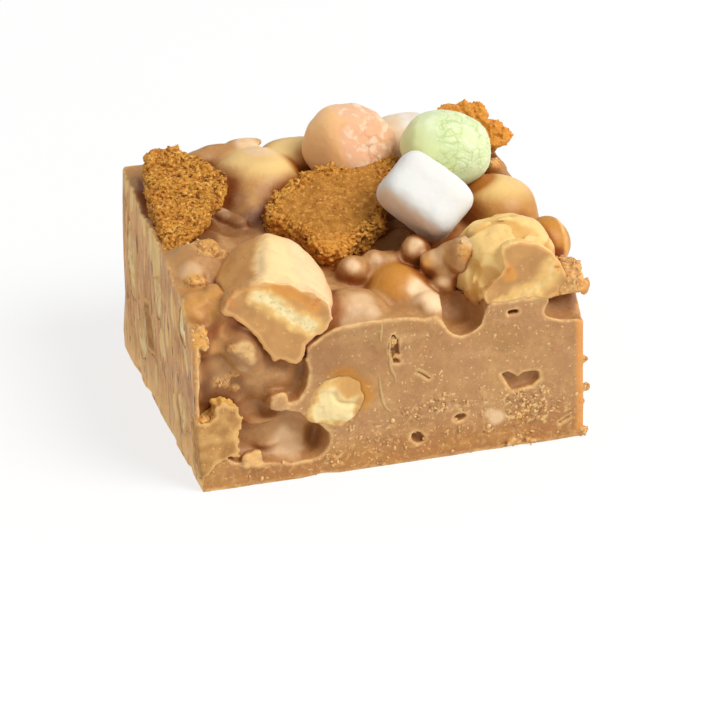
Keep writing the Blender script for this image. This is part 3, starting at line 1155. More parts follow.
# %% Cut marshmallows
CREASE = ((-6.4, 11.4), (-7.8, 11.6), (-9.2, 12.4), (-9.6, 13.6))
SLICED = [name for name, piece in ROUNDED.items() if piece.side and name not in COATED]
SEEN_CELL, UNSEEN_CELL = 0.20, 0.26
for name in SLICED:
    piece = ROUNDED[name]
    near = around(piece, SEEN_CELL if piece.side in ("front", "left") else UNSEEN_CELL)
    values = full(piece, near)

    def torn(x, y, z):
        pores = 0.32 * np.maximum(bumps(x, y, z, 0.8, 151), 0.0) + 0.14 * bumps(x, y, z, 1.8, 152)
        crease = 0.5 * fade(from_line(CREASE, x, z), 0.7, 0.0) - 0.25 if name == "marshmallow_front_low" else 0.0
        return core_on(name, x, y, z) * (pores + crease) + 0.05 * bumps(x, y, z, 0.6, 153)

    values = np.maximum(values, cut_through(values, piece, near, torn))
    mesh = mesh_of(name + "_sliced", *draw_surface(values, near))
    at = places_of(mesh)
    mark(mesh, "cut", fade(side_cuts(piece, *at.T), -0.6, -0.25))
    mark(mesh, "core", core_on(name, *at.T))
    mark(mesh, "dragged", np.full(len(at), 0.0 if piece.side == "front" else 1.0))
    mark(mesh, "fold", notch(*at.T) * (name == "marshmallow_front_low"))
    made[name] = show(mesh)
print(len(SLICED), "cut pieces")

# %% [markdown]
# ## The broken biscuits
#
# A ginger biscuit breaks into a face of sandy grains. Each slab is a broken outline with a thickness,
# and the grains are cells of a random pattern, pushed in between the grains and out at their middles.
# A baked top is smoother than a broken side.

# %% Biscuit grain
def baked(name, x, y, z):
    """1 on the smooth baked top of the middle biscuit, 0 on a broken side."""
    if name != "biscuit_centre":
        return 0.0 * x
    piece = BISCUITS[name]
    lx, ly, lz = piece.inside(x, y, z)
    inner = outside(piece.outline, lx, ly) + 0.9 * bumps(x, y, z, 2.4, 161)
    return fade(lz, 1.3, 1.9) * fade(inner, -1.0, -2.8)


def grain_of(x, y, z):
    """Broken grains. The place is bent first, so that they aren't round."""
    bend = 0.5 * bumps(x, y, z, 0.8, 166) + 0.7 * bumps(x, y, z, 1.7, 168)
    return grains(0.75 * x + bend, y - bend, 1.2 * z + 0.7 * bend, 0.85, 162)[0]


def grain_relief(name, x, y, z):
    coarse, _ = grains(x, y, z, 1.9, 163)
    rough = 0.6 * (grain_of(x, y, z) - 0.45) + 0.45 * (coarse - 0.45) + 0.3 * bumps(x, y, z, 0.55, 164)
    side = 1.5 if name == "biscuit_centre" else 1.0
    return rough * (side - (side - 0.2) * baked(name, x, y, z)) + 0.12 * bumps(x, y, z, 1.5, 165)


WHOLE_CELL, CUT_CELL = 0.18, 0.22
for name, piece in BISCUITS.items():
    near = around(piece, CUT_CELL if piece.side else WHOLE_CELL)
    values = full(piece, near)
    add_near(values, near, 1.6, lambda x, y, z: grain_relief(name, x, y, z))
    if piece.side:
        values = np.maximum(values, cut_through(values, piece, near))
    mesh = mesh_of(name + "_crumb", *draw_surface(values, near))
    at = places_of(mesh)
    top = baked(name, *at.T)
    mark(mesh, "grain", grain_of(*at.T))
    mark(mesh, "baked", top)
    cut = fade(side_cuts(piece, *at.T), -0.5, -0.15) if piece.side else 0.0 * at[:, 0]
    mark(mesh, "cut", cut)
    mark(mesh, "rim", cut * fade(-piece.field(*at.T) + 0.3 * bumps(*at.T, 1.0, 167), 1.1, 0.3))
    tip = fade(np.linalg.norm(at - np.array((-4.4, -7.6, 28.0)), axis=1), 5.5, 2.0)
    mark(mesh, "gold", np.maximum(1.0 * (name == "biscuit_back_right"), 0.5 * tip))
    mark(mesh, "pale", np.full(len(at), 1.0 if name == "biscuit_corner" else 0.0))
    mark(mesh, "loose", (1.0 - 0.8 * top) * (1.0 - cut) * fade(normals_of(mesh)[:, 2], -0.5, 0.2))
    made[name] = show(mesh)
    print(name, len(mesh.polygons), "faces")

# %% [markdown]
# ## Finishes
#
# Colours are given as they look on the real food, as screen values from 0 to 255. A shader needs them
# as linear light, so one small function turns them. Every finish mixes its colours by the marks that
# were written on the meshes and by noise at several sizes, so that no place is one flat colour.

# %% A small kit for building node trees
def colour(red, green, blue):
    """A screen colour as linear light, by the standard curve of screens."""
    screen = [value / 255 for value in (red, green, blue)]
    linear = [v / 12.92 if v < 0.04 else ((v + 0.055) / 1.055) ** 2.4 for v in screen]
    return (*linear, 1.0)


def grey(value):
    """One number as a colour, for mixing numbers as colours are mixed."""
    return (value, value, value, 1.0)


class Finish:
    """One material, built step by step. Each step returns a socket for the next one."""

    def __init__(self, name):
        self.material = bpy.data.materials.new(name)
        self.material.use_nodes = True
        self.tree = self.material.node_tree
        self.tree.nodes.clear()
        self.shader = self.tree.nodes.new("ShaderNodeBsdfPrincipled")
        output = self.tree.nodes.new("ShaderNodeOutputMaterial")
        self.tree.links.new(self.shader.outputs["BSDF"], output.inputs["Surface"])
        self.place = self.tree.nodes.new("ShaderNodeTexCoord").outputs["Object"]

    def put(self, socket, value):
        if isinstance(value, bpy.types.NodeSocket):
            self.tree.links.new(value, socket)
        else:
            socket.default_value = value

    def mark(self, name):
        node = self.tree.nodes.new("ShaderNodeAttribute")
        node.attribute_name = name
        return node.outputs["Fac"]

    def noise(self, size, detail=2.0, stretch=(1.0, 1.0, 1.0), shift=0.0):
        """Noise with features this many millimetres across, from 0 to 1."""
        mapping = self.tree.nodes.new("ShaderNodeMapping")
        self.put(mapping.inputs["Vector"], self.place)
        mapping.inputs["Scale"].default_value = stretch
        mapping.inputs["Location"].default_value = (shift, shift * 0.7, shift * 1.3)
        node = self.tree.nodes.new("ShaderNodeTexNoise")
        self.put(node.inputs["Vector"], mapping.outputs["Vector"])
        node.inputs["Scale"].default_value = 1.0 / (size * MM)
        node.inputs["Detail"].default_value = detail
        return node.outputs["Fac"]

    def between(self, value, low, high, start=0.0, stop=1.0):
        """Runs smoothly from start to stop as the value goes from low to high."""
        node = self.tree.nodes.new("ShaderNodeMapRange")
        node.interpolation_type = "SMOOTHSTEP"
        self.put(node.inputs["Value"], value)
        for name, number in (("From Min", low), ("From Max", high), ("To Min", start), ("To Max", stop)):
            node.inputs[name].default_value = number
        return node.outputs["Result"]

    def maths(self, operation, first, second=0.0):
        node = self.tree.nodes.new("ShaderNodeMath")
        node.operation = operation
        self.put(node.inputs[0], first)
        self.put(node.inputs[1], second)
        return node.outputs["Value"]

    def mix(self, share, first, second, blend="MIX"):
        node = self.tree.nodes.new("ShaderNodeMix")
        node.data_type, node.blend_type = "RGBA", blend
        self.put(node.inputs["Factor"], share)
        self.put(node.inputs["A"], first)
        self.put(node.inputs["B"], second)
        return node.outputs["Result"]

    def tint(self, share, base, shade):
        """Multiplies the base by a shade, by this share."""
        return self.mix(share, base, shade, "MULTIPLY")

    def times(self, first, second):
        return self.maths("MULTIPLY", first, second)

    def marked(self, base, mark, share, shade):
        """Lays a shade on the base where the mesh has this mark."""
        return self.mix(self.times(self.mark(mark), share), base, shade)

    def blotched(self, base, grain, edges, share, shade):
        """Lays a shade on the base in blotches of noise. The grain is its size, detail and shift."""
        size, detail, shift = grain
        return self.mix(self.between(self.noise(size, detail, shift=shift), *edges, 0.0, share), base, shade)

    def bump(self, height, distance, strength=1.0, below=None):
        node = self.tree.nodes.new("ShaderNodeBump")
        node.inputs["Strength"].default_value = strength
        node.inputs["Distance"].default_value = distance * MM
        self.put(node.inputs["Height"], height)
        if below is not None:
            self.put(node.inputs["Normal"], below)
        return node.outputs["Normal"]

    def done(self, base, roughness, normal, shine, scatter=None, **constants):
        """Scatter is how much light is scattered inside, its radius by colour and its scale in metres."""
        self.put(self.shader.inputs["Base Color"], base)
        self.put(self.shader.inputs["Roughness"], roughness)
        self.put(self.shader.inputs["Normal"], normal)
        constants["Specular IOR Level"] = shine
        if scatter:
            constants.update(zip(("Subsurface Weight", "Subsurface Radius", "Subsurface Scale"), scatter))
        for name, value in constants.items():
            self.shader.inputs[name.replace("_", " ")].default_value = value
        print("finish:", self.material.name, len(self.tree.nodes), "nodes")
        return self.material


# %% [markdown]
# Milk chocolate is fat round tiny solids: light goes in a little way and comes out warmer, so it has
# some subsurface scattering. Where it set on its own it is glossy, and where the knife cut it, matt
# and lighter, with a pale burr along the edges of the cut.

# %% Chocolate
f = Finish("chocolate")
cut, left = f.mark("cut"), f.mark("left")
base = f.mix(cut, colour(190, 140, 86), colour(190, 144, 90))
base = f.mix(left, base, colour(222, 163, 94))
base = f.tint(f.between(f.noise(8.0, 3.0), 0.35, 0.7, 0.0, 0.6), base, colour(228, 214, 200))
base = f.blotched(base, (2.2, 4.0, 0.3), (0.50, 0.70), 0.5, colour(208, 160, 102))
base = f.blotched(base, (3.4, 4.0, 7.3), (0.54, 0.74), 0.5, colour(168, 118, 74))
brushed = f.noise(2.6, 4.0, stretch=(0.35, 1.0, 1.0), shift=5.1)
base = f.mix(f.times(cut, f.between(brushed, 0.52, 0.66, 0.0, 0.4)), base, colour(210, 166, 112))
mottled = f.between(f.noise(5.0, 5.0, shift=12.0), 0.36, 0.62)
base = f.mix(f.times(cut, f.times(mottled, 0.45)), base, colour(176, 124, 84))
flecks = f.times(cut, f.between(f.noise(0.55, 2.0, shift=14.0), 0.64, 0.71, 0.0, 0.8))
base = f.mix(flecks, base, colour(234, 194, 134))
low = f.mark("low")
base = f.tint(f.times(low, f.maths("SUBTRACT", 1.0, left)), base, colour(247, 228, 192))
base = f.mix(f.times(low, f.times(left, 0.6)), base, colour(255, 206, 130))
streaks = f.noise(0.8, 3.0, stretch=(1.0, 1.0, 0.13), shift=0.9)
base = f.mix(f.times(left, f.between(streaks, 0.52, 0.66)), base, colour(230, 186, 122))
dark_streaks = f.noise(0.9, 3.0, stretch=(1.0, 1.0, 0.16), shift=2.9)
base = f.mix(f.times(left, f.between(dark_streaks, 0.56, 0.68, 0.0, 0.7)), base, colour(150, 100, 56))
grooves = f.noise(0.55, 3.0, stretch=(1.0, 1.0, 0.14), shift=10.9)
base = f.mix(f.times(left, f.between(grooves, 0.61, 0.69, 0.0, 0.8)), base, colour(112, 72, 40))
specks = f.times(cut, f.between(f.noise(0.45, 2.0, shift=1.7), 0.64, 0.74, 0.0, 0.55))
base = f.mix(specks, base, colour(146, 96, 54))
loose = f.mark("loose")
pits = f.times(loose, f.between(f.noise(0.8, 3.0, shift=6.2), 0.58, 0.68))
base = f.mix(f.times(pits, 0.65), base, colour(140, 92, 48))
bits = f.between(f.noise(0.8, 3.0, shift=4.0), 0.52, 0.62, 0.0, 0.85)
base = f.mix(f.times(bits, f.maths("ADD", loose, 0.1)), base, colour(236, 196, 128))
base = f.mix(f.between(f.mark("amber"), 0.0, 1.0, 0.0, 0.9), base, colour(204, 134, 28))
base = f.mix(f.between(f.mark("cream"), 0.0, 1.0, 0.0, 0.9), base, colour(252, 215, 142))
base = f.mix(f.mark("light"), base, colour(252, 218, 172))
base = f.mix(f.mark("dark"), base, colour(128, 77, 31))
smear = f.mark("smear")
smear_edge = f.maths("ADD", smear, f.between(streaks, 0.3, 0.7, -0.4, 0.4))
smeared = f.times(f.between(smear, 0.0, 0.3), f.between(smear_edge, 0.15, 0.95, 0.0, 0.85))
base = f.mix(smeared, base, colour(234, 198, 124))
burr = f.times(f.mark("rim"), f.between(f.noise(1.4, 3.0, shift=8.0), 0.3, 0.65, 0.25, 0.8))
base = f.mix(burr, base, colour(240, 196, 130))
base = f.marked(base, "edge", 0.9, colour(224, 154, 80))
base = f.marked(base, "ridge", 0.4, colour(226, 182, 120))
crumb = f.mark("crumb")
sandy = f.mix(f.between(f.noise(0.6, 3.0, shift=3.3), 0.42, 0.6), colour(196, 138, 74), colour(232, 180, 108))
base = f.mix(f.times(crumb, 0.7), base, sandy)
base = f.marked(base, "gold", 0.75, colour(230, 166, 74))
base = f.tint(f.mark("deep"), base, colour(190, 142, 88))
matt = f.maths("MAXIMUM", cut, crumb)
roughness = f.mix(matt, grey(0.46), grey(0.62))
grit = f.bump(f.noise(0.35, 3.0), 0.08, 0.7)
dots = f.bump(pits, -0.3, 0.8, below=grit)
normal = f.bump(f.noise(1.5, 4.0, shift=3.0), 0.4, 0.5, below=dots)
chocolate = f.done(base, roughness, normal, 0.38, (0.22, (1.0, 0.45, 0.2), 0.002))

# %% [markdown]
# A whole marshmallow is foam with a dusty skin, so it has no gloss and a lot of scattering. The pink
# and the green are pastel, paler in patches and deeper in their cracks.

# %% Marshmallow skins
def skin_finish(name, plain, pale, deep, stain, bloom, blooming):
    f = Finish(name)
    turned = f.maths("ADD", f.mark("sunny"), f.between(f.noise(2.4, 3.0), 0.3, 0.7, -0.1, 0.1))
    base = f.mix(f.between(turned, -0.4, 0.25), plain, pale)
    patches = f.times(f.between(turned, 0.0, 0.3), f.between(f.noise(1.6, 4.0, shift=6.0), 0.48, 0.62))
    base = f.mix(f.times(patches, blooming), base, bloom)
    base = f.mix(f.times(f.mark("crack"), 0.6), base, deep)
    base = f.blotched(base, (2.6, 3.0, 2.0), (0.68, 0.78), 0.4, stain)
    base = f.blotched(base, (0.5, 1.0, 5.0), (0.76, 0.82), 0.6, deep)
    fine = f.bump(f.noise(0.25, 2.0), 0.03, 0.4)
    normal = f.bump(f.noise(0.9, 2.0, shift=3.0), 0.12, 0.4, below=fine)
    return f.done(base, 0.82, normal, 0.25, (0.5, (1.0, 0.75, 0.5), 0.003), Sheen_Weight=0.1, Sheen_Roughness=0.6)


pink = skin_finish(
    "pink_marshmallow_skin",
    plain=colour(255, 198, 136),
    pale=colour(234, 182, 142),
    deep=colour(210, 140, 96),
    stain=colour(236, 172, 96),
    bloom=colour(250, 226, 200),
    blooming=0.6,
)
green = skin_finish(
    "green_marshmallow_skin",
    plain=colour(234, 242, 178),
    pale=colour(218, 230, 180),
    deep=colour(174, 194, 112),
    stain=colour(236, 240, 190),
    bloom=colour(236, 243, 208),
    blooming=0.5,
)
white = skin_finish(
    "white_marshmallow_skin",
    plain=colour(230, 202, 166),
    pale=colour(230, 229, 224),
    deep=colour(226, 218, 206),
    stain=colour(232, 230, 226),
    bloom=colour(226, 225, 221),
    blooming=0.3,
)

# %% [markdown]
# A thin film of chocolate on marshmallow goes through three colours as it thickens: cream, the amber
# of caramel where light still passes it, and then chocolate. The cut face shows the foam itself, tan
# at the rim and pale in the middle.

# %% Coated marshmallow
def coated_finish(name, bare, amber, brown, gloss):
    f = Finish(name)
    film = f.maths("ADD", f.mark("film"), f.between(f.noise(1.3, 3.0), 0.3, 0.7, -0.22, 0.22))
    base = f.mix(f.between(film, 0.05, 0.45), bare, amber)
    base = f.mix(f.between(film, 0.45, 0.9), base, brown)
    base = f.tint(f.between(f.noise(3.5, 3.0, shift=1.0), 0.4, 0.7, 0.0, 0.4), base, colour(236, 220, 200))
    base = f.blotched(base, (0.55, 2.0, 4.0), (0.66, 0.76), 0.5, colour(240, 214, 160))
    base = f.marked(base, "fold", 0.65, colour(212, 156, 70))
    base = f.marked(base, "peach", 0.6, colour(244, 198, 152))
    base = f.marked(base, "pale", 0.4, colour(252, 226, 184))
    base = f.mix(f.mark("stain"), base, colour(222, 150, 66))
    face = f.mix(f.between(f.noise(4.0, 2.0, shift=2.0), 0.35, 0.65), colour(201, 149, 87), colour(187, 136, 79))
    face = f.blotched(face, (0.8, 3.0, 9.0), (0.60, 0.74), 0.5, colour(232, 184, 116))
    face = f.marked(face, "halo", 0.7, colour(236, 196, 120))
    face = f.marked(face, "warm", 0.85, colour(218, 150, 66))
    core = f.maths("ADD", f.mark("core"), f.between(f.noise(0.9, 3.0, shift=6.0), 0.3, 0.7, -0.12, 0.12))
    face = f.mix(f.between(core, 0.05, 0.6), face, colour(230, 184, 106))
    face = f.mix(f.between(core, 0.4, 1.05), face, colour(240, 219, 164))
    green_foam = f.between(f.noise(0.5, 2.0, shift=11.0), 0.56, 0.66, 0.0, 0.55)
    face = f.mix(f.times(f.between(core, 0.8, 1.0), green_foam), face, colour(190, 178, 112))
    face = f.marked(face, "rim", 0.6, colour(232, 180, 112))
    scratched = f.times(f.mark("scratch"), f.between(f.noise(0.5, 2.0, shift=12.0), 0.4, 0.55))
    face = f.mix(scratched, face, colour(206, 132, 62))
    base = f.mix(f.mark("cut"), base, face)
    roughness = f.mix(f.mark("cut"), grey(gloss), grey(0.62))
    fine = f.bump(f.noise(0.4, 3.0), 0.05, 0.5)
    normal = f.bump(f.noise(1.4, 2.0, shift=3.0), 0.2, 0.3, below=fine)
    return f.done(base, roughness, normal, 0.4, (0.25, (1.0, 0.6, 0.3), 0.0018))


coated = coated_finish("coated_marshmallow", colour(246, 208, 134), colour(226, 172, 94), colour(204, 148, 82), 0.42)
nutty = coated_finish("coated_nut", colour(204, 158, 104), colour(192, 138, 82), colour(170, 118, 76), 0.3)

# %% Cut marshmallow
f = Finish("cut_marshmallow")
core = f.maths("ADD", f.mark("core"), f.between(f.noise(1.1, 3.0), 0.3, 0.7, -0.3, 0.3))
base = f.mix(f.between(core, -0.2, 0.35), colour(204, 156, 98), colour(230, 186, 112))
base = f.mix(f.between(core, 0.25, 0.8), base, colour(238, 214, 156))
base = f.blotched(base, (0.5, 2.0, 2.0), (0.62, 0.74), 0.4, colour(224, 202, 130))
base = f.marked(base, "fold", 0.9, colour(212, 160, 92))
drag = f.noise(0.8, 3.0, stretch=(1.0, 1.0, 0.2), shift=1.0)
dragged = f.times(f.mark("dragged"), f.between(drag, 0.40, 0.62, 0.15, 0.9))
base = f.mix(dragged, base, colour(212, 164, 106))
normal = f.bump(f.noise(0.4, 3.0), 0.08, 0.6)
sliced_finish = f.done(base, 0.7, normal, 0.3, (0.3, (1.0, 0.8, 0.5), 0.0015))

# %% [markdown]
# Biscuit crumb is dry and dull. Its grains are golden where they broke and dark brown in the pits
# between them, and the baked top is a deeper, even brown.

# %% Biscuit
f = Finish("biscuit_crumb")
grain = f.maths("ADD", f.mark("grain"), f.between(f.noise(0.4, 3.0), 0.3, 0.7, -0.25, 0.25))
base = f.mix(f.between(grain, 0.25, 0.6), colour(210, 150, 62), colour(182, 120, 40))
holes = f.times(f.between(grain, 0.58, 0.85), f.between(f.noise(2.4, 3.0, shift=8.0), 0.38, 0.58, 0.35, 1.0))
base = f.mix(holes, base, colour(108, 58, 16))
base = f.blotched(base, (0.5, 2.0, 2.0), (0.57, 0.64), 0.85, colour(238, 186, 100))
base = f.tint(f.between(f.noise(4.0, 3.0, shift=1.0), 0.35, 0.7, 0.0, 0.6), base, colour(228, 204, 180))
top = f.mix(f.between(f.noise(1.0, 4.0, shift=3.0), 0.35, 0.65), colour(160, 102, 34), colour(186, 127, 52))
top = f.blotched(top, (0.5, 2.0, 6.0), (0.58, 0.66), 0.75, colour(220, 164, 90))
top = f.blotched(top, (0.7, 3.0, 9.0), (0.60, 0.70), 0.6, colour(128, 78, 30))
base = f.mix(f.times(f.mark("baked"), 0.9), base, top)
base = f.marked(base, "gold", 0.65, colour(238, 160, 66))
base = f.marked(base, "pale", 0.7, colour(232, 184, 100))
face = f.mix(f.between(f.noise(1.6, 3.0, shift=4.0), 0.4, 0.62), colour(166, 116, 66), colour(186, 136, 80))
face = f.blotched(face, (0.6, 2.0, 7.0), (0.62, 0.72), 0.6, colour(228, 184, 120))
face = f.marked(face, "rim", 0.75, colour(232, 186, 118))
base = f.mix(f.times(f.mark("cut"), 0.9), base, face)
normal = f.bump(f.noise(0.3, 3.0), 0.12, 0.8)
biscuit = f.done(base, 0.85, normal, 0.25, (0.08, (1.0, 0.5, 0.2), 0.001))

FINISHES = {
    "pink_marshmallow": pink,
    "green_marshmallow": green,
    "white_marshmallow": white,
    "coated_marshmallow": coated,
    "cut_marshmallow": sliced_finish,
    "coated_nut": nutty,
    "biscuit": biscuit,
    "chocolate": chocolate,
}
SLOTS = {part["node"]: part["material_slot"] for part in frame["record"]["subparts"]}

# %% [markdown]
# ## Crumbs
#
# Many small grains lie on the biscuits and stick in the lower front. Geometry Nodes suit
# them: points are spread over a surface where a mark on it asks for them, each gets a small grain of
# random size and turn, and everything becomes one plain mesh. Noise then bends each grain out of shape.

# %% The crumb tree
def crumb_tree():
    tree = bpy.data.node_groups.new("scatter crumbs", "GeometryNodeTree")
    sockets = {}
    for name, kind, value in (
        ("Geometry", "NodeSocketGeometry", None),
        ("Per square metre", "NodeSocketFloat", 1e6),
        ("Smallest", "NodeSocketFloat", 0.1 * MM),
        ("Largest", "NodeSocketFloat", 0.3 * MM),
        ("Seed", "NodeSocketInt", 1),
        ("Material", "NodeSocketMaterial", None),
    ):
        item = tree.interface.new_socket(name, in_out="INPUT", socket_type=kind)
        if value is not None:
            item.default_value = value
        sockets[name] = item.identifier
    tree.interface.new_socket("Geometry", in_out="OUTPUT", socket_type="NodeSocketGeometry")

    def node(kind, inputs=None, **settings):
        made_node = tree.nodes.new(kind)
        for name, value in settings.items():
            setattr(made_node, name, value)
        for name, value in (inputs or {}).items():
            made_node.inputs[name].default_value = value
        return made_node

    random_turn, smallest_shape, largest_shape = (6.3, 6.3, 6.3), (0.5, 0.5, 0.35), (1.5, 1.2, 0.9)
    given = node("NodeGroupInput")
    density = node("GeometryNodeInputNamedAttribute", {"Name": "loose"}, data_type="FLOAT")
    times = node("ShaderNodeMath", operation="MULTIPLY")
    points = node("GeometryNodeDistributePointsOnFaces")
    ball = node("GeometryNodeMeshIcoSphere", {"Radius": 1.0, "Subdivisions": 1})
    turn = node("FunctionNodeRandomValue", {"Max": random_turn}, data_type="FLOAT_VECTOR")
    size = node("FunctionNodeRandomValue", data_type="FLOAT")
    shapes = {"Min": smallest_shape, "Max": largest_shape}
    shape = node("FunctionNodeRandomValue", shapes, data_type="FLOAT_VECTOR")
    scaled = node("ShaderNodeVectorMath", operation="SCALE")
    place = node("GeometryNodeInstanceOnPoints")
    real = node("GeometryNodeRealizeInstances")
    move = node("GeometryNodeSetPosition")
    noise = node("ShaderNodeTexNoise", {"Scale": 3200.0})
    centred = node("ShaderNodeVectorMath", {1: (0.5, 0.5, 0.5)}, operation="SUBTRACT")
    push = node("ShaderNodeVectorMath", operation="SCALE")
    painted = node("GeometryNodeSetMaterial")
    result = node("NodeGroupOutput")
    for source, out, target, into in (
        (given, "Geometry", points, "Mesh"),
        (density, "Attribute", times, 0),
        (given, "Per square metre", times, 1),
        (times, 0, points, "Density"),
        (given, "Seed", points, "Seed"),
        (points, "Points", place, "Points"),
        (ball, "Mesh", place, "Instance"),
        (turn, 0, place, "Rotation"),
        (given, "Smallest", size, 2),
        (given, "Largest", size, 3),
        (shape, 0, scaled, 0),
        (size, 1, scaled, "Scale"),
        (scaled, 0, place, "Scale"),
        (place, "Instances", real, "Geometry"),
        (real, "Geometry", move, "Geometry"),
        (noise, "Color", centred, 0),
        (centred, 0, push, 0),
        (given, "Largest", push, "Scale"),
        (push, 0, move, "Offset"),
        (move, "Geometry", painted, "Geometry"),
        (given, "Material", painted, "Material"),
        (painted, "Geometry", result, "Geometry"),
    ):
        tree.links.new(source.outputs[out], target.inputs[into])
    return tree, sockets


TREE, SOCKETS = crumb_tree()
CRUMBS_PER_SQUARE_MM = 1.3


def scatter(name, carrier_mesh, smallest, largest, seed, material):
    """Crumbs on this mesh, as one plain mesh."""
    carrier = placed("carrier", carrier_mesh)
    layer = carrier.modifiers.new("Crumbs", "NODES")
    layer.node_group = TREE
    for socket, value in (
        ("Per square metre", CRUMBS_PER_SQUARE_MM / MM**2),
        ("Smallest", smallest * MM),
        ("Largest", largest * MM),
        ("Seed", seed),
        ("Material", material),
    ):
        layer[SOCKETS[socket]] = value
    graph = bpy.context.evaluated_depsgraph_get()
    mesh = bpy.data.meshes.new_from_object(carrier.evaluated_get(graph))
    mesh.name = name
    bpy.data.objects.remove(carrier)
    print(name, len(mesh.polygons), "faces")
    return show(mesh)


# %% Scatter them
f = Finish("pale_crumb")
pale = f.mix(f.between(f.noise(0.8, 2.0), 0.35, 0.65), colour(204, 156, 98), colour(232, 190, 130))
pale_crumb = f.done(pale, 0.7, f.bump(f.noise(0.3, 2.0), 0.05, 0.5), 0.3)

crumbs = {"block": scatter("crumbs_front", block_mesh, 0.10, 0.45, 3, pale_crumb)}
for number, name in enumerate(("biscuit_centre", "biscuit_back_left", "biscuit_back_right")):
    crumbs[name] = scatter(f"crumbs_{name}", made[name].data, 0.08, 0.28, 10 + number, biscuit)

# %% [markdown]
# The knife left a few fine curved ridges on the front. They are thinner than the block's own
# mesh could show, so each is a thin rod of chocolate that lies half in the cut face.

# %% Fine ridges on the front
RIDGES = (
    ((-2.2, 24.3), (-2.3, 22.8), (-2.4, 21.2)),
    ((-0.4, 21.9), (-0.9, 20.7), (-1.1, 19.3), (-0.9, 18.1), (-1.0, 17.3), (-0.6, 16.1), (-0.1, 14.9), (0.0, 13.8)),
    ((-2.6, 15.9), (-2.5, 13.9), (-2.3, 12.5), (-2.0, 11.0), (-1.4, 9.8), (-0.6, 9.1)),
    ((2.7, 15.8), (3.6, 15.7), (4.6, 15.0), (5.5, 14.1)),
)
RIDGE_RADIUS = 0.26
RIDGE_HEIGHT = 0.55
ROUND, STEPS_PER_POINT, SMOOTHINGS = 8, 8, 6


def rod(points, radius):
    """The places and faces of a rod along a bent line on the front, thin at both ends."""
    steps = np.linspace(0.0, 1.0, STEPS_PER_POINT * len(points))
    line = np.array([np.interp(steps * (len(points) - 1), range(len(points)), axis) for axis in zip(*points)])
    for _ in range(SMOOTHINGS):
        line[:, 1:-1] = (line[:, :-2] + 2.0 * line[:, 1:-1] + line[:, 2:]) / 4.0
    along = np.gradient(line, axis=1)
    along /= np.linalg.norm(along, axis=0)
    thick = radius * np.sqrt(np.clip(4.0 * steps * (1.0 - steps), 0.02, 1.0))
    middle = FRONT + cut_front(line[0], np.full(len(steps), FRONT), line[1])
    around_it = np.linspace(0.0, 2.0 * math.pi, ROUND, endpoint=False)[None, :]
    wide, tall = thick[:, None] * np.cos(around_it), RIDGE_HEIGHT * thick[:, None] * np.sin(around_it)
    places_x = line[0][:, None] + along[1][:, None] * wide
    places_z = line[1][:, None] - along[0][:, None] * wide
    places = np.stack([places_x, middle[:, None] + tall, places_z], axis=-1).reshape(-1, 3)
    faces = []
    for step in range(len(steps) - 1):
        for side in range(ROUND):
            here, beside = step * ROUND + side, step * ROUND + (side + 1) % ROUND
            faces.append((here, here + ROUND, beside + ROUND, beside))
    faces.append(tuple(range(ROUND)))
    faces.append(tuple(range(len(places) - 1, len(places) - ROUND - 1, -1)))
    return places, faces


ridge_places, ridge_faces = [], []
for points in RIDGES:
    rod_places, rod_faces = rod(points, RIDGE_RADIUS)
    ridge_faces += [tuple(corner + len(ridge_places) for corner in face) for face in rod_faces]
    ridge_places += rod_places.tolist()
ridge_mesh = bpy.data.meshes.new("front_ridges")
ridge_mesh.from_pydata([[v * MM for v in place] for place in ridge_places], [], ridge_faces)
form = bmesh.new()
form.from_mesh(ridge_mesh)
bmesh.ops.recalc_face_normals(form, faces=form.faces)
form.to_mesh(ridge_mesh)
form.free()
for name in ("cut", "ridge"):
    mark(ridge_mesh, name, np.ones(len(ridge_places)))
ridge_mesh.materials.append(chocolate)
ridges = show(ridge_mesh)
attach(ridges, "root")
print(len(RIDGES), "ridges")

# %% [markdown]
# ## Hand the pieces to the model
#
# Every dressed piece stands for one solid of the CAD model and rides on its only body.

# %% Replace the plain solids
made["block"] = block
for name, piece in made.items():
    piece.data.materials.clear()
    piece.data.materials.append(FINISHES[SLOTS[name]])
    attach(piece, "root")
    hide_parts(name)
for name, piece in crumbs.items():
    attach(piece, "root")
print(len(made), "pieces dressed")

# %% [markdown]
# ## Light and camera
#
# The light is a soft studio light from the upper right, in a pale room. The floor is white and large
# enough that no edge of it shows.

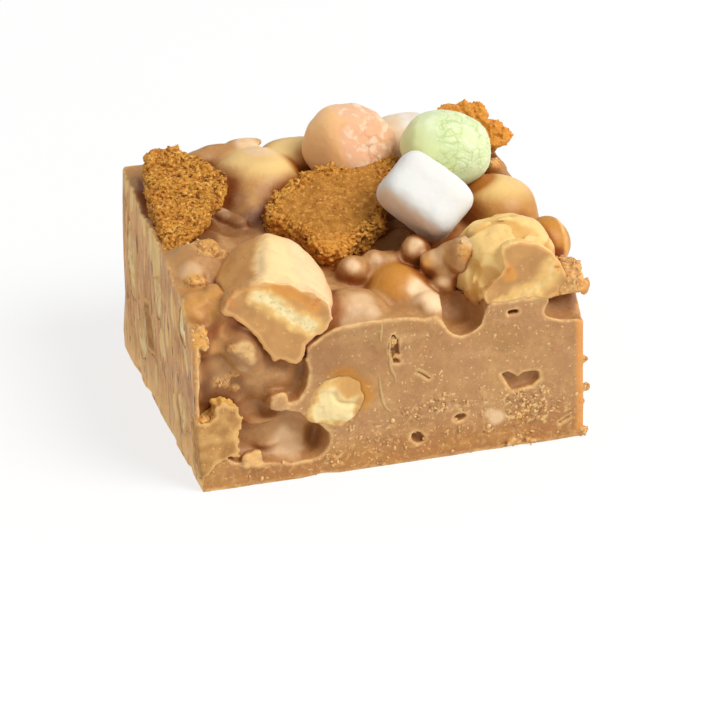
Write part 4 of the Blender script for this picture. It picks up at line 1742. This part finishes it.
# %% Floor
FLOOR_SIZE, FLOOR_GLOW = 1.5, 0.73
floor_mesh = bpy.data.meshes.new("studio_floor")
form = bmesh.new()
bmesh.ops.create_grid(form, x_segments=2, y_segments=2, size=FLOOR_SIZE)
form.to_mesh(floor_mesh)
form.free()
floor = placed("studio_floor", floor_mesh)
f = Finish("studio_floor")
paper = f.mix(f.noise(40.0, 2.0), colour(138, 138, 138), colour(141, 141, 141))
f.shader.inputs["Emission Color"].default_value = (1.0, 1.0, 1.0, 1.0)
f.shader.inputs["Emission Strength"].default_value = FLOOR_GLOW
floor_mesh.materials.append(f.done(paper, 0.9, f.bump(f.noise(2.0, 2.0), 0.02, 0.2), 0.1))

# %% Lights
ROOM_LIGHT = 0.50
world = bpy.data.worlds.new("studio")
world.use_nodes = True
world.node_tree.nodes["Background"].inputs["Color"].default_value = (1.0, 0.99, 0.98, 1.0)
world.node_tree.nodes["Background"].inputs["Strength"].default_value = ROOM_LIGHT
bpy.context.scene.world = world
AIM = Vector((0.0, -0.004, 0.018))


def soft_light(name, at, size, power):
    """A round soft light, in metres and watts, that points at the block."""
    light = bpy.data.lights.new(name, "AREA")
    light.shape = "DISK"
    light.size = size
    light.energy = power
    carrier = placed(name, light)
    carrier.location = at
    carrier.rotation_euler = (Vector(at) - AIM).to_track_quat("Z", "Y").to_euler()


soft_light("key", at=(0.62, -0.66, 1.12), size=0.80, power=16.4)

# %% Camera
AZIMUTH, ELEVATION = math.radians(-16.7), math.radians(28.5)
TARGET, DISTANCE = Vector((-0.0036, -0.0174, 0.015)), 0.7
back = Vector(
    (math.sin(AZIMUTH) * math.cos(ELEVATION), -math.cos(AZIMUTH) * math.cos(ELEVATION), math.sin(ELEVATION))
)
lens = bpy.data.cameras.new("camera")
lens.lens = 233.5
lens.sensor_width = 36.0
camera = placed("camera", lens)
camera.location = TARGET + back * DISTANCE
camera.rotation_euler = back.to_track_quat("Z", "Y").to_euler()
bpy.context.scene.camera = camera
bpy.context.scene.view_settings.view_transform = "Standard"
